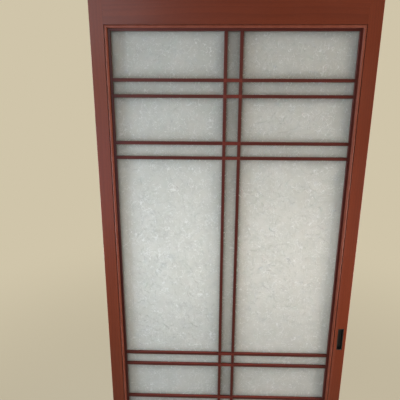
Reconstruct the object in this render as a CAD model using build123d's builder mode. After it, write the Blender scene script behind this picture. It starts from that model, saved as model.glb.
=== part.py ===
# Shoji sliding screen: a beaded timber frame, a half-lapped double-line lattice, a laminated
# paper sheet held by mitred back stops, a flush finger pull and two foot rollers.
# Millimetres, +Z up. The front faces -Y. The origin lies under the middle of the panel,
# level with the lowest point of the rollers, and half-way through the frame's depth.
import os
from build123d import *

# Panel and frame
panel_width = 900.0
panel_height = 2030.0
frame_depth = 35.0
stile_face = 44.0
top_rail_face = 125.0
bottom_rail_face = 305.5
arris_radius = 1.5

# Moulding worked on the inner front edge of the frame: a quirk and a round bead
bead_width = 8.8
bead_sink = 0.3
bead_fall = 1.6
quirk_width = 1.2
quirk_depth = 2.4
lip_depth = 8.0
rabbet_width = 7.0

# Mortise and tenon joints of the frame
tenon_length = 30.0
tenon_thickness = 12.0
tenon_margin = 12.0
twin_tenon_gap = 60.0
mortise_spare = 1.0
joint_clearance = 0.1

# Tongue along the head, which runs in the groove of the upper track
tongue_height = 14.0
tongue_thickness = 19.0

# Lattice: border strips, and kumiko in pairs
strip_show = 8.0
seat_clearance = 0.2
kumiko_face = 10.5
kumiko_depth = 9.0
kumiko_chamfer = 0.5
pair_spacing = 50.0
small_cell = 141.5
stub_length = 6.0
stub_thickness = 5.0
stub_width = 6.0

# Paper sheet and the stops behind it
paper_thickness = 1.0
stop_depth = 11.0
stop_chamfer = 3.0

# Flush finger pull
pull_height = 90.0
pull_width = 21.0
pull_centre_height = 803.0
pull_flange = 2.0
pull_flange_thickness = 1.2
pull_corner_radius = 1.5
pull_depth = 11.0
pull_wall = 1.0
pull_scoop_radius = 3.0
pull_screw_spacing = 68.0
pull_screw_radius = 1.3
pull_screw_length = 12.0
pull_screw_head_radius = 2.5
pull_screw_head_height = 1.4

# Foot rollers
wheel_radius = 13.0
wheel_drop = 4.0
wheel_rim_width = 8.0
wheel_hub_radius = 6.5
wheel_groove_width = 4.4
wheel_groove_depth = 1.8
axle_radius = 2.5
running_clearance = 0.05
hub_side_gap = 0.3
housing_length = 70.0
housing_width = 14.0
housing_wall = 1.2
wheel_roof_gap = 2.8
housing_flange_length = 100.0
housing_flange_thickness = 1.5
roller_inset = 130.0
roller_screw_radius = 1.7
roller_screw_length = 20.0
roller_screw_head_radius = 3.4
roller_screw_head_height = 1.2

# Places worked out from the sizes above
front_y = -frame_depth / 2
foot_z = wheel_drop
head_z = foot_z + panel_height
sticking = bead_width + quirk_width
sight_half = panel_width / 2 - stile_face - sticking
shoulder_half = sight_half + sticking
sight_top = head_z - top_rail_face - sticking
sight_bottom = foot_z + bottom_rail_face + sticking
sheet_half = sight_half + rabbet_width - seat_clearance
sheet_top = sight_top + rabbet_width - seat_clearance
sheet_bottom = sight_bottom - rabbet_width + seat_clearance
paper_half = sight_half - strip_show
paper_top = sight_top - strip_show
paper_bottom = sight_bottom + strip_show
strip_width = rabbet_width - seat_clearance + strip_show
lattice_back = lip_depth + kumiko_depth
stop_front = lattice_back + paper_thickness
stub_depth = lip_depth + kumiko_depth / 2
cut_over = 1.0
upright_kumiko_x = pair_spacing / 2
pull_x = panel_width / 2 - stile_face / 2
pull_z = foot_z + pull_centre_height
roller_x = panel_width / 2 - roller_inset
axle_z = wheel_radius
housing_top = 2 * wheel_radius + wheel_roof_gap + housing_wall
roller_screw_spacing = (housing_flange_length + housing_length) / 2
sides = {"left": -1, "right": 1}
ends = {"top": 1, "bottom": -1}


def at_depth(depth):
    """Y of a place that lies this far behind the front face."""
    return front_y + depth


def member_plane(x, z, outward):
    """Plane across a frame member: local X runs outward from its sight edge, local Y back."""
    across = Vector(*outward)
    return Plane(origin=(x, front_y, z), x_dir=across, z_dir=across.cross(Vector(0, 1, 0)))


def stick_section(plane, face):
    """Section of a stile or rail: bead, quirk, flat face, back, rabbet and lip."""
    bead_foot = bead_sink + bead_fall
    full = sticking + face
    with BuildSketch(plane) as section:
        with BuildLine():
            ThreePointArc((0, bead_foot), (bead_width / 2, bead_sink), (bead_width, bead_foot))
            Polyline(
                (bead_width, bead_foot),
                (bead_width, quirk_depth),
                (sticking, quirk_depth),
                (sticking, 0),
                (full, 0),
                (full, frame_depth),
                (rabbet_width, frame_depth),
                (rabbet_width, lip_depth),
                (0, lip_depth),
                (0, bead_foot),
            )
        make_face()
        fillet(section.vertices().sort_by(Axis.X)[-2:], arris_radius)
    return section.sketch


def tenon_spans(end):
    """Middle height and length of each tenon of the top or bottom rail."""
    if end == "top":
        low = sight_top + sticking + tenon_margin
        high = head_z - tongue_height - tenon_margin
        return [((low + high) / 2, high - low)]
    low = foot_z + tenon_margin
    high = sight_bottom - sticking - tenon_margin
    length = (high - low - twin_tenon_gap) / 2
    return [(low + length / 2, length), (high - length / 2, length)]


def bar_heights():
    """Centre heights of the eight cross kumiko, from the top one down."""
    first = paper_top - small_cell - kumiko_face / 2
    second = first - pair_spacing
    third = second - small_cell - kumiko_face
    fourth = third - pair_spacing
    upper = [first, second, third, fourth]
    lower = [paper_top + paper_bottom - z for z in reversed(upper)]
    return upper + lower


def cut_tongue():
    """Steps along the head that leave the track tongue in the middle of the depth."""
    step = (frame_depth - tongue_thickness) / 2
    for y in (front_y + step / 2, -front_y - step / 2):
        with Locations((0, y, head_z - tongue_height / 2)):
            Box(panel_width + 2 * cut_over, step, tongue_height, mode=Mode.SUBTRACT)


def rail_seat(side, end):
    """Front outline of what a stile loses to a rail: the mitre, then the shoulder."""
    up = ends[end]
    sight_z = sight_top if end == "top" else sight_bottom
    edge_z = head_z if end == "top" else foot_z
    inner_x = side * (sight_half - cut_over)
    with BuildSketch(Plane.XZ) as seat:
        with BuildLine():
            Polyline(
                (inner_x, sight_z - up * cut_over),
                (side * shoulder_half, sight_z + up * sticking),
                (side * shoulder_half, edge_z + up * cut_over),
                (inner_x, edge_z + up * cut_over),
                close=True,
            )
        make_face()
    return seat.sketch


def rail_outline(end):
    """Front outline of a rail between its shoulders, mitred across the moulding."""
    up = ends[end]
    sight_z = sight_top if end == "top" else sight_bottom
    edge_z = head_z if end == "top" else foot_z
    with BuildSketch(Plane.XZ) as outline:
        with BuildLine():
            Polyline(
                (-sight_half, sight_z),
                (sight_half, sight_z),
                (shoulder_half, sight_z + up * sticking),
                (shoulder_half, edge_z),
                (-shoulder_half, edge_z),
                (-shoulder_half, sight_z + up * sticking),
                close=True,
            )
        make_face()
    return outline.sketch


def pull_flange_outline():
    """Round-cornered outline of the pull's flange on the front face."""
    with BuildSketch(Plane.XZ.offset(-front_y)) as outline:
        with Locations((pull_x, pull_z)):
            RectangleRounded(pull_width, pull_height, pull_corner_radius)
    return outline.sketch


def pull_cup_outline(inset):
    """Outline of the pull on the front face, drawn in by the inset on every side."""
    with BuildSketch(Plane.XZ.offset(-front_y)) as outline:
        with Locations((pull_x, pull_z)):
            Rectangle(pull_width - 2 * inset, pull_height - 2 * inset)
    return outline.sketch


def cut_pull_mortise():
    """Mortise for the cup of the finger pull, with a shallow seat for its flange."""
    extrude(pull_flange_outline(), amount=-pull_flange_thickness, mode=Mode.SUBTRACT)
    extrude(pull_cup_outline(pull_flange), amount=-pull_depth, mode=Mode.SUBTRACT)
    with Locations(*[Location(plane) for plane in pull_screw_planes()]):
        Cylinder(
            pull_screw_radius,
            pull_screw_length,
            align=(Align.CENTER, Align.CENTER, Align.MIN),
            mode=Mode.SUBTRACT,
        )


def pull_screw_planes():
    """Planes on the floor of the pull's cup, facing into the stile, one for each screw."""
    floor_y = at_depth(pull_depth - pull_wall)
    heights = (pull_z - pull_screw_spacing / 2, pull_z + pull_screw_spacing / 2)
    return [Plane(origin=(pull_x, floor_y, z), z_dir=(0, 1, 0)) for z in heights]


def build_stile(side):
    """Full-height stile, cut back for the mitred moulding, shoulders and tenons of the rails."""
    start_z = foot_z if side > 0 else head_z
    with BuildPart() as stile:
        plane = member_plane(side * sight_half, start_z, (side, 0, 0))
        extrude(stick_section(plane, stile_face), amount=panel_height)
        for end in ends:
            extrude(rail_seat(side, end), amount=frame_depth, both=True, mode=Mode.SUBTRACT)
            for middle, length in tenon_spans(end):
                depth = tenon_length + mortise_spare
                with Locations((side * (shoulder_half + depth / 2), 0, middle)):
                    Box(
                        depth,
                        tenon_thickness + 2 * joint_clearance,
                        length + 2 * joint_clearance,
                        mode=Mode.SUBTRACT,
                    )
        cut_tongue()
        if side == sides["right"]:
            cut_pull_mortise()
    return stile


def build_rail(end):
    """Rail with mitred moulding at both ends and tenons that enter the stiles."""
    up = ends[end]
    face = top_rail_face if end == "top" else bottom_rail_face
    sight_z = sight_top if end == "top" else sight_bottom
    with BuildPart() as rail:
        plane = member_plane(0, sight_z, (0, 0, up))
        extrude(stick_section(plane, face), amount=shoulder_half, both=True)
        extrude(rail_outline(end), amount=frame_depth, both=True, mode=Mode.INTERSECT)
        for middle, length in tenon_spans(end):
            with Locations((0, 0, middle)):
                Box(2 * (shoulder_half + tenon_length), tenon_thickness, length)
        if end == "top":
            cut_tongue()
        else:
            cut_roller_mortises()
    return rail


def flange_outline(side):
    """Round-ended outline of a roller housing's flange on the foot of the panel."""
    with BuildSketch(Plane.XY.offset(foot_z)) as outline:
        with Locations((side * roller_x, 0)):
            SlotOverall(housing_flange_length, housing_width)
    return outline.sketch


def housing_outline(side, inset):
    """Outline of a roller housing's box at the foot, drawn in by the inset on every side."""
    with BuildSketch(Plane.XY.offset(foot_z)) as outline:
        with Locations((side * roller_x, 0)):
            Rectangle(housing_length - 2 * inset, housing_width - 2 * inset)
    return outline.sketch


def cut_roller_mortises():
    """Mortises in the foot for the roller housings, with flange seats and screw holes."""
    for side in sides.values():
        extrude(flange_outline(side), amount=housing_flange_thickness, mode=Mode.SUBTRACT)
        extrude(housing_outline(side, 0), amount=housing_top - foot_z, mode=Mode.SUBTRACT)
        with Locations(*[Location(plane) for plane in roller_screw_planes(side)]):
            Cylinder(
                roller_screw_radius,
                roller_screw_length,
                align=(Align.CENTER, Align.CENTER, Align.MIN),
                mode=Mode.SUBTRACT,
            )


def roller_screw_planes(side):
    """Planes on the foot of a housing's flange, facing up, one for each screw."""
    offsets = (-roller_screw_spacing / 2, roller_screw_spacing / 2)
    return [Plane(origin=(side * roller_x + x, 0, foot_z), z_dir=(0, 0, 1)) for x in offsets]


def build_upright_strip(side):
    """Border strip along a stile, mortised for the ends of the cross kumiko and strips."""
    with BuildPart() as strip:
        x = side * (sheet_half + paper_half) / 2
        height = sheet_top - sheet_bottom
        with Locations((x, at_depth(stub_depth), (sheet_top + sheet_bottom) / 2)):
            Box(strip_width, kumiko_depth, height)
        arris = strip.edges().filter_by(Axis.Z).group_by(Axis.Y)[0]
        chamfer(arris.sort_by(Axis.X)[-1 if side < 0 else 0], kumiko_chamfer)
        heights = bar_heights()
        heights.append((sheet_top + paper_top) / 2)
        heights.append((sheet_bottom + paper_bottom) / 2)
        places = [(side * (paper_half + stub_length / 2), at_depth(stub_depth), z) for z in heights]
        with Locations(*places):
            Box(
                stub_length,
                stub_thickness + 2 * joint_clearance,
                stub_width + 2 * joint_clearance,
                mode=Mode.SUBTRACT,
            )
    return strip


def build_cross_strip(end):
    """Border strip along a rail, mortised for the upright kumiko, with a stub at each end."""
    up = ends[end]
    inner_z = paper_top if end == "top" else paper_bottom
    middle_z = inner_z + up * strip_width / 2
    with BuildPart() as strip:
        with Locations((0, at_depth(stub_depth), middle_z)):
            Box(2 * paper_half, kumiko_depth, strip_width)
        arris = strip.edges().filter_by(Axis.X).group_by(Axis.Y)[0]
        chamfer(arris.sort_by(Axis.Z)[-1 if up < 0 else 0], kumiko_chamfer)
        with Locations((0, at_depth(stub_depth), middle_z)):
            Box(2 * (paper_half + stub_length), stub_thickness, stub_width)
        places = [
            (x, at_depth(stub_depth), inner_z + up * stub_length / 2)
            for x in (-upright_kumiko_x, upright_kumiko_x)
        ]
        with Locations(*places):
            Box(
                stub_width + 2 * joint_clearance,
                stub_thickness + 2 * joint_clearance,
                stub_length,
                mode=Mode.SUBTRACT,
            )
    return strip


def build_upright_kumiko(side):
    """Upright bar, halved from behind at each cross bar, with a stub at each end."""
    x = side * upright_kumiko_x
    middle_z = (paper_top + paper_bottom) / 2
    length = paper_top - paper_bottom
    lap = kumiko_depth / 2
    with BuildPart() as bar:
        with Locations((x, at_depth(stub_depth), middle_z)):
            Box(kumiko_face, kumiko_depth, length)
        chamfer(bar.edges().filter_by(Axis.Z).group_by(Axis.Y)[0], kumiko_chamfer)
        with Locations((x, at_depth(stub_depth), middle_z)):
            Box(stub_width, stub_thickness, length + 2 * stub_length)
        with Locations(*[(x, at_depth(lattice_back - lap / 2), z) for z in bar_heights()]):
            Box(
                kumiko_face,
                lap,
                kumiko_face + 2 * joint_clearance,
                mode=Mode.SUBTRACT,
            )
    return bar


def build_cross_kumiko(z):
    """Cross bar, halved from the front at the two uprights, with a stub at each end."""
    lap = kumiko_depth / 2
    with BuildPart() as bar:
        with Locations((0, at_depth(stub_depth), z)):
            Box(2 * paper_half, kumiko_depth, kumiko_face)
        chamfer(bar.edges().filter_by(Axis.X).group_by(Axis.Y)[0], kumiko_chamfer)
        with Locations((0, at_depth(stub_depth), z)):
            Box(2 * (paper_half + stub_length), stub_thickness, stub_width)
        places = [(side * upright_kumiko_x, at_depth(lip_depth + lap / 2), z) for side in (-1, 1)]
        with Locations(*places):
            Box(
                kumiko_face + 2 * joint_clearance,
                lap,
                kumiko_face,
                mode=Mode.SUBTRACT,
            )
    return bar


def build_paper():
    """Laminated paper sheet, let into the rabbet behind the lattice."""
    with BuildPart() as sheet:
        middle = (0, at_depth(lattice_back + paper_thickness / 2), (sheet_top + sheet_bottom) / 2)
        with Locations(middle):
            Box(2 * sheet_half, paper_thickness, sheet_top - sheet_bottom)
    return sheet


def stop_outline(name):
    """Front outline of a mitred stop: its long outer edge, then its short inner edge."""
    if name in sides:
        side = sides[name]
        points = [
            (side * sheet_half, sheet_bottom),
            (side * sheet_half, sheet_top),
            (side * paper_half, paper_top),
            (side * paper_half, paper_bottom),
        ]
    else:
        outer_z = sheet_top if name == "top" else sheet_bottom
        inner_z = paper_top if name == "top" else paper_bottom
        points = [
            (-sheet_half, outer_z),
            (sheet_half, outer_z),
            (paper_half, inner_z),
            (-paper_half, inner_z),
        ]
    with BuildSketch(Plane.XZ.offset(-at_depth(stop_front))) as outline:
        with BuildLine():
            Polyline(*points, close=True)
        make_face()
    return outline.sketch


def build_stop(name):
    """Back stop with mitred ends and its inner back arris chamfered."""
    with BuildPart() as stop:
        extrude(stop_outline(name), amount=-stop_depth)
        along = Axis.Z if name in sides else Axis.X
        back_edges = stop.edges().group_by(Axis.Y)[-1].filter_by(along)
        chamfer(back_edges.sort_by(SortBy.LENGTH)[0], stop_chamfer)
    return stop


def build_pull():
    """Pressed cup with a rounded flange, a scooped floor and two screw holes."""
    inside = pull_cup_outline(pull_flange + pull_wall)
    with BuildPart() as pull:
        extrude(pull_flange_outline(), amount=-pull_flange_thickness)
        extrude(pull_cup_outline(pull_flange), amount=-pull_depth)
        extrude(inside, amount=-(pull_depth - pull_wall), mode=Mode.SUBTRACT)
        floor = pull.faces().filter_by(Axis.Y).sort_by(Axis.Y)[-2]
        fillet(floor.edges(), pull_scoop_radius)
        with Locations(*[Location(plane) for plane in pull_screw_planes()]):
            Cylinder(
                pull_screw_radius,
                pull_depth,
                align=(Align.CENTER, Align.CENTER, Align.CENTER),
                mode=Mode.SUBTRACT,
            )
    return pull


def build_screws(planes, radius, length, head_radius, head_height):
    """Round-headed wood screws, each on its plane with the shank along the plane's normal."""
    with BuildPart() as screws:
        with Locations(*[Location(plane) for plane in planes]):
            Cylinder(radius, length, align=(Align.CENTER, Align.CENTER, Align.MIN))
            Cylinder(head_radius, head_height, align=(Align.CENTER, Align.CENTER, Align.MAX))
    return screws


def build_housing(side):
    """Drawn steel housing: a box open at the foot, with a round-ended flange."""
    height = housing_top - foot_z
    inside = housing_outline(side, housing_wall)
    with BuildPart() as housing:
        extrude(flange_outline(side), amount=housing_flange_thickness)
        extrude(housing_outline(side, 0), amount=height)
        extrude(inside, amount=height - housing_wall, mode=Mode.SUBTRACT)
        with Locations(Location(Plane(origin=(side * roller_x, 0, axle_z), z_dir=(0, 1, 0)))):
            Cylinder(axle_radius, housing_width, mode=Mode.SUBTRACT)
        with Locations(*[Location(plane) for plane in roller_screw_planes(side)]):
            Cylinder(roller_screw_radius, roller_screw_length, mode=Mode.SUBTRACT)
    return housing


def build_wheel(side):
    """Turned wheel with a grooved rim and a hub that runs on the axle."""
    x = side * roller_x
    hub = housing_width / 2 - housing_wall - hub_side_gap
    rim = wheel_rim_width / 2
    bore = axle_radius + running_clearance
    groove = wheel_groove_width / 2
    half = [
        (hub, bore),
        (hub, wheel_hub_radius),
        (rim, wheel_hub_radius),
        (rim, wheel_radius),
        (groove, wheel_radius),
    ]
    mirrored = [(-y, r) for y, r in reversed(half)]
    with BuildPart() as wheel:
        with BuildSketch(Plane(origin=(x, 0, axle_z), x_dir=(0, 1, 0), z_dir=(1, 0, 0))):
            with BuildLine():
                Polyline(*half, (0, wheel_radius - wheel_groove_depth), *mirrored, close=True)
            make_face()
        revolve(axis=Axis((x, 0, axle_z), (0, 1, 0)))
    return wheel


def build_axle(side):
    """Axle pin, its ends flush with the housing."""
    with BuildPart() as axle:
        with Locations(Location(Plane(origin=(side * roller_x, 0, axle_z), z_dir=(0, 1, 0)))):
            Cylinder(axle_radius, housing_width)
    return axle


pieces = {
    "left_stile": build_stile(sides["left"]),
    "right_stile": build_stile(sides["right"]),
    "top_rail": build_rail("top"),
    "bottom_rail": build_rail("bottom"),
    "left_border_strip": build_upright_strip(sides["left"]),
    "right_border_strip": build_upright_strip(sides["right"]),
    "top_border_strip": build_cross_strip("top"),
    "bottom_border_strip": build_cross_strip("bottom"),
    "left_upright_kumiko": build_upright_kumiko(sides["left"]),
    "right_upright_kumiko": build_upright_kumiko(sides["right"]),
    "paper_sheet": build_paper(),
    "finger_pull": build_pull(),
    "pull_screws": build_screws(
        pull_screw_planes(),
        pull_screw_radius,
        pull_screw_length,
        pull_screw_head_radius,
        pull_screw_head_height,
    ),
}
for number, bar_z in enumerate(bar_heights(), start=1):
    pieces[f"cross_kumiko_{number}"] = build_cross_kumiko(bar_z)
for edge in (*sides, *ends):
    pieces[f"{edge}_back_stop"] = build_stop(edge)
for hand, side in sides.items():
    pieces[f"{hand}_roller_housing"] = build_housing(side)
    pieces[f"{hand}_roller_wheel"] = build_wheel(side)
    pieces[f"{hand}_roller_axle"] = build_axle(side)
    pieces[f"{hand}_roller_screws"] = build_screws(
        roller_screw_planes(side),
        roller_screw_radius,
        roller_screw_length,
        roller_screw_head_radius,
        roller_screw_head_height,
    )

os.makedirs("parts", exist_ok=True)
for name, piece in pieces.items():
    piece.part.label = name
    export_step(piece.part, f"parts/{name}.step")
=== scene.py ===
# %% [markdown]
# # A shoji panel, dressed for the camera
# A shoji is a light sliding screen: paper on a grid of thin bars, inside a timber frame. The
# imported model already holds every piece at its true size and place, as plain solids. This script
# gives each of them the surface that a joiner, a paper maker or a smith would leave on it. Nothing
# is moved. Each new piece is built where its solid stands, then takes that solid's place.

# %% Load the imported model
import math

import bmesh
import bpy
import numpy as np
from mathutils import Matrix, Vector


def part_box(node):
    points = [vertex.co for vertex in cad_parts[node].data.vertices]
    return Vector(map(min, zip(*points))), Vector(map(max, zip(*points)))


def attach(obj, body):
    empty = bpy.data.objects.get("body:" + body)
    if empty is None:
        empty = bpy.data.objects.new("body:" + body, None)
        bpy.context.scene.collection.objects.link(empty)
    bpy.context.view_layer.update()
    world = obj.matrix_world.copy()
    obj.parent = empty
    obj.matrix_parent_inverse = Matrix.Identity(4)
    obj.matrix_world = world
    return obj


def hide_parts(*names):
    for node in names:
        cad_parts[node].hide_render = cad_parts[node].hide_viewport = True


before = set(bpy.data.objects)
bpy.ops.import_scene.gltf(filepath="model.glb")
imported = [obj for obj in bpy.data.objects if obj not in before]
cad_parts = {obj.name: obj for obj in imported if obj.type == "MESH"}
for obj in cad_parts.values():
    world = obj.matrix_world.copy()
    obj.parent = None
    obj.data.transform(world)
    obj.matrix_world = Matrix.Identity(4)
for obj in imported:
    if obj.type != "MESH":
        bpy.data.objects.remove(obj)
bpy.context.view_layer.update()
MM = 0.001
rng = np.random.default_rng(20)
print("solids in the frame:", len(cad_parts))

# %% [markdown]
# ## Sizes come from the frame
# A driving size that the solids can show is read from their boxes, so the dressed piece fits its
# solid even after the panel has been made wider or taller. Only the small mouldings, which a box
# can't show, are written out again.

# %% Read the driving sizes


def low_high(node):
    """Lowest and highest corner of a solid, as arrays."""
    low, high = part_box(node)
    return np.array(low), np.array(high)


stile_low, stile_high = low_high("right_stile")
sight_half, panel_half = stile_low[0], stile_high[0]
front_y, back_y = stile_low[1], stile_high[1]
foot_z, head_z = stile_low[2], stile_high[2]
sight_top = low_high("top_rail")[0][2]
sight_bottom = low_high("bottom_rail")[1][2]
frame_depth = back_y - front_y
strip_low, strip_high = low_high("right_border_strip")
paper_half, sheet_half = strip_low[0], strip_high[0]
sheet_bottom, sheet_top = strip_low[2], strip_high[2]
paper_top = low_high("top_border_strip")[0][2]
paper_bottom = low_high("bottom_border_strip")[1][2]
lattice_front, lattice_back = strip_low[1], strip_high[1]
paper_low, paper_high = low_high("paper_sheet")
SIDES = (("left", -1), ("right", 1))
bar_names = [f"cross_kumiko_{number}" for number in range(1, 9)]
upright_names = [f"{side}_upright_kumiko" for side, _ in SIDES]
bar_spans = [(low[2], high[2]) for low, high in map(low_high, bar_names)]
upright_spans = [(low[0], high[0]) for low, high in map(low_high, upright_names)]
print(f"opening {2 * sight_half:.3f} by {sight_top - sight_bottom:.3f} m")

# %% [markdown]
# ## From arrays to meshes
# Every shape below is worked out as an array of points. Four helpers turn such arrays into pieces:
# one joins rings of points into a skin, one makes the mesh, one cuts joints as a saw would, and
# one bakes modifiers in.

# %% Mesh helpers


def tube(rings, joined=False):
    """Skin over rings of points: corner k of ring j is point j * n + k, each quad runs from (j, k)
    to (j + 1, k + 1), and every ring closes on itself. The end rings become flat caps, unless the
    last ring is joined to the first."""
    count, n = rings.shape[:2]
    steps = count if joined else count - 1
    j, k = np.meshgrid(np.arange(steps), np.arange(n), indexing="ij")
    after, beside = (j + 1) % count, (k + 1) % n
    corners = [j * n + k, j * n + beside, after * n + beside, after * n + k]
    faces = np.stack(corners, axis=-1).reshape(-1, 4).tolist()
    if not joined:
        faces += [list(range(n)), list(range((count - 1) * n, count * n))]
    return rings.reshape(-1, 3), faces


def gather(parts):
    """Several (points, faces) pairs as one pair: each part's indices are raised by the points
    before it."""
    points, faces, start = [], [], 0
    for part_points, part_faces in parts:
        points.append(part_points)
        faces += [[start + index for index in face] for face in part_faces]
        start += len(part_points)
    return np.concatenate(points), faces


def make_piece(name, parts):
    """An object at the origin from (points, faces) pairs, with doubled points merged and faces
    outward."""
    points, faces = gather(parts)
    mesh = bpy.data.meshes.new(name)
    mesh.from_pydata(points.tolist(), [], faces)
    shell = bmesh.new()
    shell.from_mesh(mesh)
    bmesh.ops.remove_doubles(shell, verts=shell.verts, dist=0.001 * MM)
    bmesh.ops.recalc_face_normals(shell, faces=shell.faces)
    shell.to_mesh(mesh)
    shell.free()
    piece = bpy.data.objects.new(name, mesh)
    bpy.context.scene.collection.objects.link(piece)
    return piece


def settle(piece):
    """Bake a piece's modifiers into its mesh."""
    bpy.context.view_layer.update()
    graph = bpy.context.evaluated_depsgraph_get()
    finished = bpy.data.meshes.new_from_object(piece.evaluated_get(graph))
    rough = piece.data
    piece.modifiers.clear()
    piece.data = finished
    bpy.data.meshes.remove(rough)


def carve(piece, tool, operation="DIFFERENCE"):
    """Cut a tool out of a piece, keep only what they share, or grow the piece by it. The tool is
    used up."""
    cut = piece.modifiers.new("joint", "BOOLEAN")
    cut.operation = operation
    cut.solver = "EXACT"
    cut.object = tool
    settle(piece)
    bpy.data.objects.remove(tool)


def block(low, high):
    """The skin of a box between two corners: a ring of four points low down and the same ring high
    up."""
    (x0, y0, z0), (x1, y1, z1) = low, high
    ring = np.array([(x0, y0), (x1, y0), (x1, y1), (x0, y1)])
    return tube(np.stack([np.column_stack([ring, np.full(4, z)]) for z in (z0, z1)]))


def front_prism(outline, y0, y1):
    """The skin of a front outline of (x, z) points carried from depth y0 to depth y1."""
    x, z = np.array(outline).T
    return tube(np.stack([np.column_stack([x, np.full(len(x), y), z]) for y in (y0, y1)]))


def soften(piece, width, segments=2, angle=35):
    """Round every edge that turns by more than the angle, and weight the normals so that flats
    stay flat."""
    piece.data.shade_smooth()
    bevel = piece.modifiers.new("arris", "BEVEL")
    bevel.width = width
    bevel.segments = segments
    bevel.limit_method = "ANGLE"
    bevel.angle_limit = math.radians(angle)
    piece.modifiers.new("flats", "WEIGHTED_NORMAL").keep_sharp = True
    settle(piece)


def merge_flats(piece):
    """Join faces that lie in one plane, so that a bevel has no stray edge to follow."""
    shell = bmesh.new()
    shell.from_mesh(piece.data)
    bmesh.ops.remove_doubles(shell, verts=shell.verts, dist=0.001 * MM)
    bmesh.ops.dissolve_limit(
        shell, angle_limit=math.radians(0.5), verts=shell.verts, edges=shell.edges
    )
    shell.to_mesh(piece.data)
    shell.free()


def arc(centre, radius, start, stop, steps):
    """Points at centre + radius * (cos a, sin a), with the angle a running evenly from start to
    stop."""
    a = np.radians(np.linspace(start, stop, steps + 1))
    return np.array(centre) + radius * np.column_stack([np.cos(a), np.sin(a)])


def points_of(piece):
    """All vertex positions of a piece, as an array of rows."""
    flat = np.empty(len(piece.data.vertices) * 3, np.float32)
    piece.data.vertices.foreach_get("co", flat)
    return flat.reshape(-1, 3).astype(float)


def normals_of(piece):
    """All vertex normals of a piece, as an array of rows."""
    flat = np.empty(len(piece.data.vertices) * 3, np.float32)
    piece.data.vertex_normals.foreach_get("vector", flat)
    return flat.reshape(-1, 3).astype(float)


# %% [markdown]
# ## Shader helpers
# Node trees are easier to read when a node, its settings and its links are written in one call.
# Colours are written as a painter's swatch, 0 to 255, and turned into the linear values that light
# is counted in.

# %% Shader helpers


def swatch(red, green, blue):
    """Linear colour of an sRGB swatch: ((c + 0.055) / 1.055) ** 2.4, or c / 12.92 in the darkest
    tones."""
    c = np.array([red, green, blue]) / 255
    linear = np.where(c <= 0.04045, c / 12.92, ((c + 0.055) / 1.055) ** 2.4)
    return (*linear.tolist(), 1.0)


def add_node(tree, kind, inputs=None, **settings):
    """Add a node, set its properties, and give each named or numbered input a value or a link."""
    node = tree.nodes.new(kind)
    for key, value in settings.items():
        setattr(node, key, value)
    for socket, value in (inputs or {}).items():
        if isinstance(value, bpy.types.NodeSocket):
            tree.links.new(value, node.inputs[socket])
        else:
            node.inputs[socket].default_value = value
    return node


def math_node(tree, operation, a, b=0.0, c=0.0, clamp=False):
    """Output of a Math node."""
    return add_node(
        tree, "ShaderNodeMath", {0: a, 1: b, 2: c}, operation=operation, use_clamp=clamp
    ).outputs[0]


def stretched(tree, vector, scale):
    """A vector times a scale along each axis."""
    node = add_node(tree, "ShaderNodeVectorMath", {0: vector, 1: scale}, operation="MULTIPLY")
    return node.outputs[0]


def moved(tree, vector, step):
    """A vector plus a step."""
    return add_node(tree, "ShaderNodeVectorMath", {0: vector, 1: step}, operation="ADD").outputs[0]


def noise(tree, vector, scale, detail=2.0):
    """Value of a Noise texture, from 0 to 1 and mostly near 0.5."""
    node = add_node(
        tree, "ShaderNodeTexNoise", {"Vector": vector, "Scale": scale, "Detail": detail}
    )
    return node.outputs["Fac"]


def ramp(tree, value, start, stop, low=0.0, high=1.0):
    """Smooth step of a value: low up to start, high from stop on."""
    node = add_node(
        tree,
        "ShaderNodeMapRange",
        {"Value": value, "From Min": start, "From Max": stop, "To Min": low, "To Max": high},
        interpolation_type="SMOOTHSTEP",
    )
    return node.outputs["Result"]


def blend_colour(tree, share, first, second, blend_type="MIX"):
    """Colour of a Mix node: the first where the share is 0, the second where it is 1."""
    node = add_node(
        tree,
        "ShaderNodeMix",
        {"Factor": share, 6: first, 7: second},
        data_type="RGBA",
        blend_type=blend_type,
    )
    return node.outputs[2]


def new_group(name, inputs, outputs):
    """A shader node group with named sockets. Inputs are label: (kind, default), outputs label:
    kind."""
    group = bpy.data.node_groups.new(name, "ShaderNodeTree")
    for label, (kind, default) in inputs.items():
        socket = group.interface.new_socket(label, in_out="INPUT", socket_type=f"NodeSocket{kind}")
        socket.default_value = default
    for label, kind in outputs.items():
        group.interface.new_socket(label, in_out="OUTPUT", socket_type=f"NodeSocket{kind}")
    return group, group.nodes.new("NodeGroupInput").outputs, group.nodes.new("NodeGroupOutput")


def use_group(tree, group, inputs):
    """Place a group in a material with its own values."""
    return add_node(tree, "ShaderNodeGroup", inputs, node_tree=group).outputs


def painted(tree, name):
    """The value of a mask that was painted on the piece."""
    return add_node(tree, "ShaderNodeAttribute", attribute_name=name).outputs["Fac"]


def object_place(tree):
    """Where a point lies, in metres from the object's origin."""
    return add_node(tree, "ShaderNodeTexCoord").outputs["Object"]


def new_material(name, **constants):
    """A material with a Principled shader, whose constant sockets are set by name with _ for a
    space."""
    material = bpy.data.materials.new(name)
    material.use_nodes = True
    shader = material.node_tree.nodes["Principled BSDF"]
    for label, value in constants.items():
        shader.inputs[label.replace("_", " ")].default_value = value
    return material, material.node_tree, shader


def bump(tree, shader, height, distance, strength=1.0):
    """Lead a height through a Bump node into the shader's normal."""
    node = add_node(
        tree, "ShaderNodeBump", {"Height": height, "Distance": distance, "Strength": strength}
    )
    tree.links.new(node.outputs["Normal"], shader.inputs["Normal"])


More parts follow.
